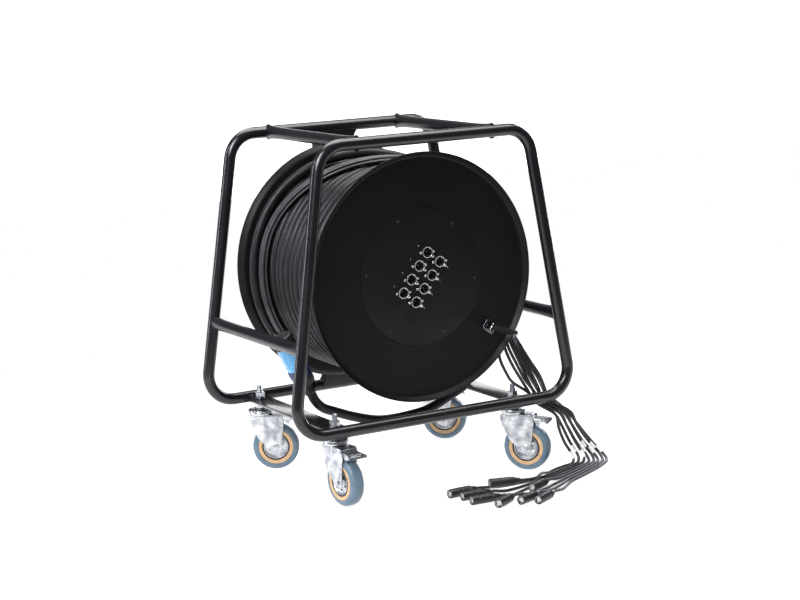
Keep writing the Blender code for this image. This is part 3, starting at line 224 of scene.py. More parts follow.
def layAt(piece, matrix):
    piece.matrix_world = matrix
    return settle(piece)


def finishPiece(piece, name, material, angle=35):
    piece.name = name
    piece.data.name = name
    piece.data.materials.clear()
    piece.data.materials.append(paint[material])
    settle(piece)
    bpy.ops.object.shade_smooth_by_angle(angle=math.radians(angle))
    return piece


def toMesh(piece):
    pickUp(piece)
    bpy.ops.object.convert(target="MESH")
    return bpy.context.object


def applyModifier(piece, kind, **settings):
    pickUp(piece)
    bpy.ops.object.modifier_add(type=kind)
    modifier = piece.modifiers[-1]
    for setting, value in settings.items():
        setattr(modifier, setting, value)
    bpy.ops.object.modifier_apply(modifier=modifier.name)


def roundEdges(piece, width, segments=2, angle=35):
    applyModifier(piece, "BEVEL", width=width, segments=segments, limit_method="ANGLE",
                  angle_limit=math.radians(angle), use_clamp_overlap=True)


def carve(piece, cutter, operation="DIFFERENCE"):
    applyModifier(piece, "BOOLEAN", operation=operation, solver="EXACT", object=cutter)
    drop(cutter)


def merge(pieces, name, material):
    pickUp(pieces[0])
    for other in pieces[1:]:
        other.select_set(True)
    bpy.ops.object.join()
    return finishPiece(bpy.context.object, name, material)


def copyPiece(piece, name, matrix):
    pickUp(piece)
    bpy.ops.object.duplicate(linked=False)
    copy = bpy.context.object
    copy.name = name
    copy.data.name = name
    return layAt(copy, matrix)


def turned(degrees, axis="Z"):
    return Matrix.Rotation(math.radians(degrees), 3, axis).to_quaternion()


def towards(direction):
    return upward.rotation_difference(Vector(direction))


def facing(*axes):
    return Matrix(axes).transposed()


def boxPiece(name, size, centre, material, bevel=0.0006, turn=None):
    selectNothing()
    bpy.ops.mesh.primitive_cube_add(size=1, location=centre)
    piece = bpy.context.object
    piece.scale = size
    if turn:
        piece.rotation_mode = "QUATERNION"
        piece.rotation_quaternion = turn
    settle(piece)
    if bevel:
        roundEdges(piece, bevel)
    return finishPiece(piece, name, material)


def rodPiece(name, radius, length, centre, direction, material, sides=32, bevel=0.0005):
    selectNothing()
    bpy.ops.mesh.primitive_cylinder_add(vertices=sides, radius=radius, depth=length, location=centre)
    piece = bpy.context.object
    piece.rotation_mode = "QUATERNION"
    piece.rotation_quaternion = towards(direction)
    settle(piece)
    if bevel:
        roundEdges(piece, bevel, 2, 50)
    return finishPiece(piece, name, material)


def startEdit(kind="VERT"):
    bpy.ops.object.mode_set(mode="EDIT")
    bpy.ops.mesh.select_mode(type=kind)
    bpy.ops.mesh.select_all(action="SELECT")


def endEdit(weld=0.0):
    bpy.ops.mesh.select_all(action="SELECT")
    if weld:
        bpy.ops.mesh.remove_doubles(threshold=weld)
    bpy.ops.mesh.normals_make_consistent(inside=False)
    bpy.ops.object.mode_set(mode="OBJECT")


def drawLine(points):
    # a chain of edges, left selected in edit mode
    selectNothing()
    bpy.ops.mesh.primitive_plane_add(size=0.01, location=points[0])
    startEdit()
    bpy.ops.mesh.merge(type="CENTER")
    for here, there in zip(points, points[1:]):
        bpy.ops.mesh.extrude_region_move(TRANSFORM_OT_translate={"value": there - here})
    bpy.ops.mesh.select_all(action="SELECT")
    return bpy.context.object


def spunPiece(name, profile, material, steps=64, centre=origin, axis=upward, angle=35):
    # the profile is (radius, height) along the axis
    centre, axis = Vector(centre), Vector(axis).normalized()
    radial = axis.orthogonal().normalized()
    piece = drawLine([centre + radial * radius + axis * height for radius, height in profile])
    bpy.ops.mesh.spin(steps=steps, angle=2 * math.pi, center=centre, axis=axis)
    endEdit(0.00002)
    return finishPiece(piece, name, material, angle)


def platePiece(name, outline, thickness, matrix, material, bevel=0.0004, segments=2):
    # the outline is in the matrix's own XY, with the thickness centred on it
    piece = drawLine([Vector((x, y, -thickness / 2)) for x, y in outline])
    bpy.ops.mesh.edge_face_add()
    bpy.ops.mesh.extrude_region_move(TRANSFORM_OT_translate={"value": (0, 0, thickness)})
    endEdit()
    settle(piece)
    layAt(piece, matrix)
    if bevel:
        roundEdges(piece, bevel, segments, 40)
    return finishPiece(piece, name, material)


def extrudedPiece(name, sections, material, sides, matrix, angle):
    # the sections are (height, half width, half depth), drawn up from a circle
    selectNothing()
    height, wide, deep = sections[0]
    bpy.ops.mesh.primitive_circle_add(vertices=sides, radius=1, fill_type="NGON", location=(0, 0, height))
    piece = bpy.context.object
    piece.scale = (wide, deep, 1)
    settle(piece)
    startEdit("FACE")
    for nextHeight, nextWide, nextDeep in sections[1:]:
        bpy.ops.mesh.extrude_region_move(TRANSFORM_OT_translate={"value": (0, 0, nextHeight - height)})
        growth = (nextWide / wide, nextDeep / deep, 1)
        bpy.ops.transform.resize(value=growth, center_override=(0, 0, nextHeight))
        height, wide, deep = nextHeight, nextWide, nextDeep
    endEdit()
    layAt(piece, matrix)
    return finishPiece(piece, name, material, angle)


def curvePiece(name, points, radius, material, resolution=4, closed=False):
    selectNothing()
    path = bpy.data.curves.new(name, "CURVE")
    path.dimensions = "3D"
    path.bevel_depth = radius
    path.bevel_resolution = resolution
    path.use_fill_caps = not closed
    spline = path.splines.new("POLY")
    spline.points.add(len(points) - 1)
    for place, point in zip(spline.points, points):
        place.co = (*point, 1)
    spline.use_cyclic_u = closed
    spline.use_smooth = True
    path.materials.append(paint[material])
    piece = bpy.data.objects.new(name, path)
    bpy.context.scene.collection.objects.link(piece)
    return piece


def tubePiece(name, points, radius, material, resolution=6, closed=False):
    piece = toMesh(curvePiece(name, points, radius, material, resolution, closed))
    startEdit()
    endEdit(0.00001)
    return finishPiece(piece, name, material, 40)


def lineLength(points):
    return sum((b - a).length for a, b in zip(points, points[1:]))


def smoothRoute(points, spacing):
    # a centripetal curve through the points, cut into even steps
    route = [Vector(p) for p in points]
    route.insert(0, route[0] * 2 - route[1])
    route.append(route[-1] * 2 - route[-2])
    fine = []
    for i in range(1, len(route) - 2):
        p0, p1, p2, p3 = route[i - 1:i + 3]
        t1 = math.sqrt((p1 - p0).length)
        t2 = t1 + math.sqrt((p2 - p1).length)
        t3 = t2 + math.sqrt((p3 - p2).length)
        for j in range(24):
            t = t1 + (t2 - t1) * j / 24
            a1 = p0.lerp(p1, t / t1)
            a2 = p1.lerp(p2, (t - t1) / (t2 - t1))
            a3 = p2.lerp(p3, (t - t2) / (t3 - t2))
            b1 = a1.lerp(a2, t / t2)
            b2 = a2.lerp(a3, (t - t1) / (t3 - t1))
            fine.append(b1.lerp(b2, (t - t1) / (t2 - t1)))
    fine.append(route[-2])
    total = lineLength(fine)
    count = max(2, round(total / spacing))
    even, walked, target = [fine[0]], 0.0, total / count
    for a, b in zip(fine, fine[1:]):
        length = (b - a).length
        while walked + length >= target - 1e-9 and len(even) < count:
            even.append(a.lerp(b, (target - walked) / length))
            target += total / count
        walked += length
    even.append(fine[-1])
    return even, total


def clamped(value):
    return min(1, max(0, value))


def eased(share):
    return share * share * (3 - 2 * share)


def rectangle(length, width):
    x, y = length / 2, width / 2
    return [(-x, -y), (x, -y), (x, y), (-x, y)]


def mirrored(profile):
    # adds the lower half of a profile that is the same both ways
    return profile + [(radius, -height) for radius, height in reversed(profile)]


def offsets(radius, height, *points):
    # profile points, in millimetres from a radius and a height
    return [(radius + dr / 1000, height + dh / 1000) for dr, dh in points]


def washerProfile(inner, outer, low, high):
    edge = offsets(outer, high, (-0.4, 0), (0, -0.4)) + offsets(outer, low, (0, 0.4), (-0.4, 0))
    return [(inner, high), *edge, (inner, low), (inner, high)]


def arcPoints(centre, radius, start, end, steps):
    turn = (end - start) / steps
    return [(centre[0] + radius * math.cos(start + turn * i), centre[1] + radius * math.sin(start + turn * i))
            for i in range(steps + 1)]


def roundCorners(corners, radius, steps):
    rounded = []
    for i, corner in enumerate(corners):
        here = Vector(corner)
        before = (Vector(corners[i - 1]) - here).normalized()
        after = (Vector(corners[(i + 1) % len(corners)]) - here).normalized()
        half = before.angle(after) / 2
        centre = here + (before + after).normalized() * (radius / math.sin(half))
        first = here + before * (radius / math.tan(half)) - centre
        last = here + after * (radius / math.tan(half)) - centre
        start = math.atan2(first.y, first.x)
        sweep = math.atan2(first.x * last.y - first.y * last.x, first.dot(last))
        rounded += arcPoints(centre, radius, start, start + sweep, steps)
    return rounded


# frame
frameSizes = {
    "tube": 0.0125, "bend": 0.058, "bendSteps": 20,
    "bottomWidth": 0.662, "topWidth": 0.484, "bottomHeight": 0.157, "topHeight": 0.725,
    "bottomSpacing": 0.414, "topSpacing": 0.389, "topCross": 0.158, "sideCross": 0.330,
    "flare": 0.075, "flareSteps": 12, "flareHigh": 0.0155, "flareWide": 0.0085,
    "barWidth": 0.048, "barThick": 0.005, "barTop": 0.155, "barOverlap": 0.008, "barEdge": 0.0009,
    "bead": 0.0006, "barBead": 0.0011, "barBeadLength": 0.047, "seamPlace": 0.007, "beadGap": 0.0002,
    "beadRipple": 0.28, "ripplePace": 2.1, "beadWobble": 0.00035, "seamWobble": 0.0001,
}


def loopHalf(size, height, look=frameSizes):
    # half the loops' "Width" or "Spacing" at a height
    share = (height - look["bottomHeight"]) / (look["topHeight"] - look["bottomHeight"])
    return (look["bottom" + size] + (look["top" + size] - look["bottom" + size]) * share) / 2


def loopY(side, height):
    return midY + side * loopHalf("Spacing", height)


def loopPath(side, look=frameSizes):
    low, high, bottom, top = (look[key] for key in ("bottomHeight", "topHeight", "bottomWidth", "topWidth"))
    corners = [(-bottom / 2, low), (bottom / 2, low), (top / 2, high), (-top / 2, high)]
    return [(x, loopY(side, z), z) for x, z in roundCorners(corners, look["bend"], look["bendSteps"])]


def weldBead(name, points, look, radius=frameSizes["bead"], wobble=frameSizes["beadWobble"]):
    # a rippled bead laid along a closed line
    bead = curvePiece(name, points, radius, "glossBlack", 3, closed=True)
    for i, place in enumerate(bead.data.splines[0].points):
        ripple = look["beadRipple"] * math.sin(i * look["ripplePace"])
        place.radius = 1 + ripple + random.uniform(-wobble, wobble) / radius
    return give(finishPiece(toMesh(bead), name, "glossBlack", 60), "root")


def crossBead(name, x, height, side, uprightTube, look):
    points, tube = [], look["tube"]
    for i in range(48):
        turn = 2 * math.pi * i / 48
        dx = (look["flareWide"] + look["bead"]) * math.cos(turn)
        dz = (look["flareHigh"] + look["bead"]) * math.sin(turn)
        across = dx if uprightTube else max(-tube * 0.97, min(tube * 0.97, dz))
        reach = math.sqrt(max(tube ** 2 - across ** 2, 0))
        points.append((x + dx, loopY(side, height) - side * (reach + look["beadGap"]), height + dz))
    weldBead(name, points, look)


def crossSections(height, look):
    # the tube's ends are pressed to an upright oval
    steps, tube, wide, high = (look[key] for key in ("flareSteps", "tube", "flareWide", "flareHigh"))
    ends = [(look["flare"] * i / steps, 1 - (1 - i / steps) ** 2) for i in range(steps + 1)]
    growth = [(loopY(-1, height) + d, grown) for d, grown in ends]
    growth += [(loopY(1, height) - d, grown) for d, grown in reversed(ends)]
    return [(y, wide + (tube - wide) * grown, high + (tube - high) * grown) for y, grown in growth]


def makeFrame(look):
    random.seed(3)
    tube, low, barTop = look["tube"], look["bottomHeight"], look["barTop"]
    for side, end in ((-1, "front"), (1, "rear")):
        loop = tubePiece(end + "Loop", loopPath(side), tube, "glossBlack", 12, True)
        give(loop, "root", end + "_loop")
        ring = [(look["seamPlace"], loopY(side, low) + tube * math.cos(turn), low + tube * math.sin(turn))
                for turn in (2 * math.pi * i / 60 for i in range(60))]
        weldBead(end + "LoopSeam", ring, look, wobble=look["seamWobble"])

    for kind, reach, height in (("top", look["topCross"], look["topHeight"]),
                                ("side", loopHalf("Width", look["sideCross"]), look["sideCross"])):
        for hand, x in (("left", -reach), ("right", reach)):
            name = "%sCrossTube%s" % (kind.title(), hand.title())
            lay = Matrix(((1, 0, 0, x), (0, 0, 1, 0), (0, -1, 0, height), (0, 0, 0, 1)))
            piece = extrudedPiece(name, crossSections(height, look), "glossBlack", 32, lay, 60)
            give(piece, "root", "%s_cross_tube_%s" % (kind, hand))
            for side, end in ((-1, "WeldFront"), (1, "WeldRear")):
                crossBead(name + end, x, height, side, kind == "side", look)

    for hand, x in (("left", -casterOffset), ("right", casterOffset)):
        size = (look["barWidth"], look["bottomSpacing"] - 2 * tube + look["barOverlap"], look["barThick"])
        bar = boxPiece("casterBar" + hand, size, (x, midY, barTop - size[2] / 2), "barBlack", look["barEdge"])
        give(bar, "root", "caster_bar_" + hand)
        for side, end in ((-1, "WeldFront"), (1, "WeldRear")):
            y = midY + side * (look["bottomSpacing"] / 2 - tube + look["bead"])
            across = [look["barBeadLength"] * (i / 24 - 0.5) for i in range(25)]
            line = [(x + dx, y, barTop + look["beadGap"]) for dx in across]
            line += [(x + dx, y, barTop - size[2] - look["beadGap"]) for dx in reversed(across)]
            weldBead(bar.name + end, line, look, look["barBead"])
    coat("glossBlack", "rear_upright")


makeFrame(frameSizes)
print("frame made")


# drum
drumTurn = math.radians(-37.5)
drumCentre = Vector((0, midY, drumHeight))
flangeSizes = {
    "radius": 0.257, "lipWidth": 0.011, "lipDepth": 0.012, "sheet": 0.002, "steps": 144, "rim": 0.0011,
    "frontFace": 0.156, "frontHole": 0.1426, "rearFace": 0.161, "rearHole": 0.0303,
}


def drumPlace(along, across, depth):
    c, s = math.cos(drumTurn), math.sin(drumTurn)
    return Vector((along * c - across * s, midY - depth, drumHeight + along * s + across * c))


def drumMatrix(along, across, depth):
    c, s = math.cos(drumTurn), math.sin(drumTurn)
    place = drumPlace(along, across, depth)
    return Matrix(((c, -s, 0, place.x), (0, 0, -1, place.y), (s, c, 0, place.z), (0, 0, 0, 1)))


def flangeProfile(look, face, hole, outward):
    # pressed disc: flat face, rounded root, flared lip and a rolled rim
    radius, rim, back = look["radius"], look["rim"], face - look["sheet"]
    start, tip = radius - look["lipWidth"], face + look["lipDepth"]
    points = [(hole, back), (hole, face - 0.0003), (hole + 0.0003, face), (start - 0.003, face)]
    points += [(start - 0.003 + 0.006 * i / 5, face + 0.0030 * (i / 5) ** 2) for i in range(1, 6)]
    points.append((radius - look["sheet"] - 0.0004, tip - 0.0012))
    points += arcPoints((radius - rim, tip - rim), rim, math.pi * 0.85, -math.pi * 0.3, 6)
    points += offsets(radius, tip, (-1.2, -3.4)) + offsets(start, back, (3.5, 3.2), (0, 0.4), (-3, 0))
    points.append((hole, back))
    return [(r, outward * h) for r, h in points]


def makeFlanges(look):
    for end, outward in (("front", 1), ("rear", -1)):
        profile = flangeProfile(look, look[end + "Face"], look[end + "Hole"], outward)
        piece = spunPiece(end + "Flange", profile, "satinBlack", look["steps"], drumCentre, forward, 40)
        give(piece, "drum", end + "_flange")


makeFlanges(flangeSizes)
coat("satinBlack", "drum_barrel")
coat("bareSteel", "bearing_hub", "axle")
coat("jacket", "inner_winding")
print("drum made")


# socket panel
panelSizes = {
    "radius": 0.142, "sheet": 0.002, "screwCircle": 0.129, "screw": (0.0032, 0.0015), "screws": 6,
    "rowSpacing": 0.0365, "columnSpacing": 0.0325, "columns": 4,
    "plate": (0.031, 0.026, 0.0015), "plateCorner": 0.003, "boreGap": 0.0008,
    "ring": 0.0118, "bore": 0.0098, "ringHeight": 0.0035, "boreDepth": 0.0125,
    "insert": (0.0148, 0.0128, 0.0075), "window": (0.0118, 0.0082, 0.0068), "tab": (0.0062, 0.0030, 0.0068),
    "contacts": 8, "contact": (0.0005, 0.0005, 0.0056), "contactSpacing": 0.00108, "contactLean": 24,
    "key": (0.0016, 0.0030, 0.0090), "keyTurns": (90, 210, 330), "latchThick": 0.0022,
    "socketScrew": (0.0027, 0.0013), "screwOffset": (0.012, 0.0095),
    "labelReach": 0.0245, "labelHeight": 0.0052, "labelThick": 0.00012,
}


def screwPiece(name, radius, height, material):
    # raised head with a cross recess, drawn at the origin and facing +Z
    profile = [(0, height), (radius * 0.45, height), (radius * 0.8, height * 0.78),
               (radius * 0.97, height * 0.4), (radius, 0.0), (0, 0.0)]
    head = spunPiece(name, profile, material, 28)
    for turn in (45, 135):
        size = (radius * 1.15, radius * 0.24, height * 0.9)
        carve(head, boxPiece("slotCutter", size, (0, 0, height), material, 0, turned(turn)))
    return finishPiece(head, name, material)


def makeSocketParts(look):
    # one socket at the origin, facing +Z, its plate on Z = 0
    length, width, thick = look["plate"]
    bore, ring, high, deep = look["bore"], look["ring"], look["ringHeight"], look["boreDepth"]
    plate = platePiece("socketPlate", roundCorners(rectangle(length, width), look["plateCorner"], 6), thick,
                       Matrix.Translation((0, 0, thick / 2)), "panelBlack", 0.0003)
    carve(plate, rodPiece("holeCutter", bore + 0.0002, 0.02, origin, upward, "panelBlack", 48, 0))
    finishPiece(plate, "socketPlate", "panelBlack")
    profile = offsets(ring, thick, (0, -0.2)) + offsets(ring, high, (0, -0.6), (-0.2, -0.2), (-0.6, 0))
    profile += offsets(bore, high, (0.6, 0), (0.1, -0.3), (-0.1, -0.9))
    profile += offsets(bore, 0, (-0.3, -2), (0.2, -2)) + offsets(ring, thick, (-1.2, -0.2), (0, -0.2))
    shell = spunPiece("socketShell", profile, "nickel", 56)
    profile = offsets(bore, high, (-0.4, -1.2)) + offsets(bore, -deep, (-0.6, 0))
    profile += offsets(0, -deep, (0, 0), (0, -1)) + offsets(bore, -deep, (0.6, -1))
    profile += offsets(bore, 0, (0.6, -2.5), (-0.1, -2))
    throat = spunPiece("socketThroat", profile + profile[:1], "deepBlack", 48)
    insert = boxPiece("socketInsert", look["insert"], (0, 0, -deep + 0.00375), "blackPlastic", 0.0004)
    for size, y in ((look["window"], 0.0002), (look["tab"], -0.0052)):
        carve(insert, boxPiece("windowCutter", size, (0, y, -deep + 0.0052), "blackPlastic", 0))
    finishPiece(insert, "socketInsert", "blackPlastic")
    middle, lean = (look["contacts"] - 1) / 2, turned(look["contactLean"], "X")
    contacts = [(i - middle) * look["contactSpacing"] for i in range(look["contacts"])]
    contacts = [boxPiece("contact", look["contact"], (x, 0.0022, -deep + 0.0043), "gold", 0.0001, lean)
                for x in contacts]
    contacts = merge(contacts, "socketContacts", "gold")
    keys = []
    for turn in look["keyTurns"]:
        x, y = arcPoints((0, 0), bore - 0.0011, math.radians(turn), 0, 1)[0]
        keys.append(boxPiece("key", look["key"], (x, y, -0.0035), "nickel", 0.0003, turned(turn)))
    keys = merge(keys, "socketKeys", "nickel")
    latch = [(0.0118, -0.0036), (0.0145, -0.0034), (0.0178, -0.0022), (0.0186, 0.0)]
    latch += [(x, -y) for x, y in reversed(latch[:3])]
    latch = platePiece("socketLatch", latch, look["latchThick"],
                       Matrix.Translation((0, 0, thick + look["latchThick"] / 2)), "nickel", 0.0005, 3)
    screws = []
    for side in (-1, 1):
        screw = screwPiece("socketScrew", *look["socketScrew"], "nickel")
        x, y = (side * reach for reach in look["screwOffset"])
        screws.append(copyPiece(screw, "socketScrewSet", Matrix.Translation((x, y, thick - 0.0001))))
        drop(screw)
    screws = merge(screws, "socketScrews", "nickel")
    return [plate, shell, throat, insert, contacts, keys, latch, screws]


def numberPiece(name, text, look, matrix):
    selectNothing()
    bpy.ops.object.text_add()
    label = bpy.context.object
    label.data.body = text
    label.data.size = look["labelHeight"]
    label.data.align_x = "CENTER"
    label.data.align_y = "CENTER"
    label.data.extrude = look["labelThick"]
    label = toMesh(label)
    label.matrix_world = matrix
    return finishPiece(label, name, "labelWhite")


def makePanel(look):
    radius, face = look["radius"], flangeSizes["frontFace"]
    profile = [(0, face), *offsets(radius, face, (-0.8, 0), (-0.2, -0.3), (0, -0.9)),
               (radius, face - look["sheet"]), (0, face - look["sheet"])]
    disc = spunPiece("hubPanel", profile, "panelBlack", 144, drumCentre, forward)
    middle = (look["columns"] - 1) / 2
    places = [(row * look["rowSpacing"], (column - middle) * look["columnSpacing"])
              for row in (-0.5, 0.5) for column in range(look["columns"])]
    hole = look["bore"] + look["boreGap"]
    for place in places:
        carve(disc, rodPiece("boreCutter", hole, 0.01, drumPlace(*place, face), forward, "panelBlack", 40, 0))
    finishPiece(disc, "hubPanel", "panelBlack")
    give(disc, "drum", "hub_panel")

    parts = makeSocketParts(look)
    for number, (along, across) in enumerate(places, 1):
        for part in parts:
            copy = copyPiece(part, "%s%d" % (part.name, number), drumMatrix(along, across, face))
            give(copy, "drum")
        reach = look["labelReach"] if along > 0 else -look["labelReach"]
        upright = drumMatrix(along + reach, across, face + 0.00005) @ Matrix.Rotation(-drumTurn, 4, "Z")
        give(numberPiece("socketNumber%d" % number, str(number), look, upright), "drum")
    drop(*parts)

    screw = screwPiece("panelScrew", *look["screw"], "glossBlack")
    for i in range(look["screws"]):
        along, across = arcPoints((0, 0), look["screwCircle"], math.radians(30 + 60 * i), 0, 1)[0]
        place = drumMatrix(along, across, face - 0.0001) @ Matrix.Rotation(i * 1.1, 4, "Z")
        give(copyPiece(screw, "panelScrew%d" % (i + 1), place), "drum")
    drop(screw)


makePanel(panelSizes)
print("panel made")


# folding crank
crankSizes = {
    "along": 0.202, "base": (0.030, 0.024, 0.003), "baseCorner": 0.004, "pinHeight": 0.0125, "pin": 0.0025,
    "ear": 0.003, "eyeWidth": 0.009, "eye": 0.0065, "rod": 0.003,
    "grip": 0.0068, "gripLength": 0.074, "gripStart": 0.010, "gripSteps": 28, "gripGroove": 0.00045,
    "cap": 0.003, "screw": (0.0025, 0.0014), "screwOffset": (0.0115, 0.0082),
}


def makeBracket(look, pinDepth, across):
    face, along, pin, eye = flangeSizes["frontFace"] + hairGap, look["along"], look["pin"], look["eye"]
    length, width, thick = look["base"]
    parts = [platePiece("crankBase", roundCorners(rectangle(length, width), look["baseCorner"], 6), thick,
                        drumMatrix(along, 0, face + thick / 2), "darkChrome", 0.0006, 3)]
    earOffset = look["eyeWidth"] / 2 + hairGap + look["ear"] / 2
    foot = -look["pinHeight"] + hairGap + thick - 0.0008
    outline = [(-eye, foot), (eye, foot)] + arcPoints((0, 0), eye, 0, math.pi, 20)
    for side in (-1, 1):
        lay = drumMatrix(along, side * earOffset, pinDepth) @ sideways
        parts.append(platePiece("crankEar", outline, look["ear"], lay, "darkChrome", 0.0005, 3))
    reach = earOffset + look["ear"] / 2
    profile = [(pin * wide, reach + rise) for wide, rise in (
        (0, 0.0010), (0.8, 0.0010), (1.25, 0.0006), (1.3, -0.0001), (1, -0.0002))]
    centre = drumPlace(along, 0, pinDepth)
    parts.append(spunPiece("crankPin", mirrored(profile), "darkChrome", 32, centre, across))
    give(merge(parts, "crankBracket", "darkChrome"), "drum", "crank_bracket")
    screw = screwPiece("crankScrew", *look["screw"], "darkChrome")
    dx, dy = look["screwOffset"]
    for i, (x, y) in enumerate(((-dx, -dy), (-dx, dy), (dx, -dy), (dx, dy))):
        place = drumMatrix(along + x, y, face + thick - 0.0001) @ Matrix.Rotation(i * 0.7, 4, "Z")
        give(copyPiece(screw, "crankScrew%d" % (i + 1), place), "drum")
    drop(screw)


def makeCrank(look):
    pinDepth = flangeSizes["frontFace"] + look["pinHeight"]
    across = (drumPlace(0, 1, 0) - drumPlace(0, 0, 0)).normalized()
    makeBracket(look, pinDepth, across)

    centre, start = drumPlace(look["along"], 0, pinDepth), look["gripStart"]
    rodLength = start + look["gripLength"] + 2 * hairGap + look["cap"]
    eye = rodPiece("crankEye", look["eye"], look["eyeWidth"], centre, across, "darkChrome", 40, 0.0006)
    carve(eye, rodPiece("eyeCutter", look["pin"] + hairGap, 0.03, centre, across, "darkChrome", 32, 0))
    rod, eyeHalf, cap = look["rod"], look["eyeWidth"] / 2, look["grip"] * 0.9
    profile = [(cap * wide, rodLength - dip) for wide, dip in ((0, 0), (0.7, 0), (0.93, 0.0006), (1, 0.0015))]
    profile += [(cap, rodLength - look["cap"]), (rod, rodLength - look["cap"]), (rod, start - hairGap),
                (eyeHalf - 0.0004, start - hairGap), (eyeHalf, start - 0.0009),
                (eyeHalf, look["eye"] - 0.0007), (0, look["eye"] - 0.0007)]
    shank = spunPiece("crankShank", profile, "darkChrome", 40, centre, forward)
    give(merge([eye, shank], "crankRod", "darkChrome"), "crank", "crank_rod")

    length, radius, inner, steps = look["gripLength"], look["grip"], rod + hairGap, look["gripSteps"]
    profile = [(inner, length), *offsets(radius, length, (-1.2, 0), (-0.6, -0.6))]
    for i in range(1, steps):
        share = i / steps
        swell = radius - 0.0006 + 0.0006 * math.sin(math.pi * share)
        dip = look["gripGroove"] if 5 < i < steps - 5 and i % 2 else 0.0
        profile.append((swell - dip, length * (1 - share)))
    profile += [*offsets(radius, 0, (-0.6, 2), (-1.6, 0)), (inner, 0.0), (inner, length)]
    place = drumPlace(look["along"], 0, pinDepth + start)
    grip = spunPiece("crankGrip", profile, "blackPlastic", 48, place, forward, 50)
    give(grip, "grip", "crank_grip")


makeCrank(crankSizes)
print("crank made")


# winding, with the eight thin tails that cross over it and gather on its left in two layers
windingSizes = {
    "cable": 0.010, "centre": 0.2163, "turns": 14, "perTurn": 90,
    "front": 0.1435, "rear": -0.1485, "wander": 0.0007, "sway": 0.0009,
    "swayPaces": (0.63, 1.7), "wanderPaces": (0.41, 2.3), "endShare": 12, "endTuck": 0.004, "tuckShare": 40,
    "thin": 0.00325, "thinLift": 0.0004, "thinStarts": (26, 22, 18.5, 15, 11, 7.5, 4, 0), "thinEnd": 222,
    "thinFirst": -0.149, "thinSpacing": 0.0074, "thinLeft": 0.084, "thinLeftSpacing": 0.0068,
    "thinBundle": [(0, 0), (1, 0.5), (0, 1), (1, 1.5), (0, 2), (1, 2.5), (0, 3), (0, 4)],
    "thinStack": 0.0056, "thinRise": 0.0026, "thinSteps": 120, "thinSink": 0.016, "sinkShare": 0.04,
    # where each change starts and how far it takes, in degrees around the drum
    "ridge": (4, 30), "climb": (20, 60), "cross": (35, 130),
    "tieTurn": 213, "tie": {"wide": 0.0385, "high": 0.0150, "along": 0.0048, "thick": 0.0012},
    "tieCorner": 0.0052, "tieInnerCorner": 0.0040, "tieEdge": 0.0004,
    "tieHead": (0.0070, 0.0052, 0.0070), "headPlace": 0.28, "headRise": 0.0014,
    "dotRadius": 0.0017, "dotThick": 0.0008, "dotRise": 0.0042,
}


def aroundDrum(radius, angle, plane):
    return Vector((radius * math.cos(angle), midY + plane, drumHeight + radius * math.sin(angle)))


def makeWinding(look):
    random.seed(11)
    steps = look["turns"] * look["perTurn"]
    phases = [random.uniform(0, 6.28) for _ in range(6)]
    points = []
    for i in range(steps + 1):
        angle = 2 * math.pi * i / look["perTurn"]
        share = i / steps
        depth = look["rear"] + (look["front"] - look["rear"]) * share
        ease = min(1, share * look["endShare"], (1 - share) * look["endShare"])
        slow, fast = (math.sin(angle * pace + phase) for pace, phase in zip(look["swayPaces"], phases[:2]))
        sway = look["sway"] * ease * (slow + 0.6 * fast) / 1.6
        slow, fast = (math.sin(angle * pace + phase) for pace, phase in zip(look["wanderPaces"], phases[2:]))
        radius = look["centre"] + look["wander"] * (slow + 0.5 * fast) / 1.5
        for toEnd in (share, 1 - share):
            radius -= look["endTuck"] * max(0, 1 - toEnd * look["tuckShare"])
        points.append(aroundDrum(radius, angle, -(depth + sway)))
    winding = tubePiece("cableWinding", points, look["cable"], "jacket", 8)
    give(winding, "drum", "cable_winding")


def makeLeadIns(look, radius):
    ways = [look[key] for key in ("ridge", "climb", "cross")]
    for k, (layer, slot) in enumerate(look["thinBundle"]):
        start, end = -look["thinStarts"][k], look["thinEnd"] + 3 * math.sin(k * 2.4)
        first = look["thinFirst"] + look["thinSpacing"] * k
        last = look["thinLeft"] + look["thinLeftSpacing"] * slot
        line = []
        for i in range(look["thinSteps"]):
            share = i / (look["thinSteps"] - 1)
            angle = start + (end - start) * share
            ridge, climb, cross = (clamped((angle - way[0]) / way[1]) for way in ways)
            plane = first + (last - first) * eased(cross)
            rise = look["thinRise"] * ridge + layer * look["thinStack"] * eased(climb)
            sink = look["thinSink"] * max(0, 1 - (1 - share) / look["sinkShare"])
            line.append(aroundDrum(radius + rise - sink, math.radians(angle), plane))
        thin = tubePiece("tailLeadIn%d" % (k + 1), line, look["thin"], "thinJacket", 5)
        give(thin, "root")


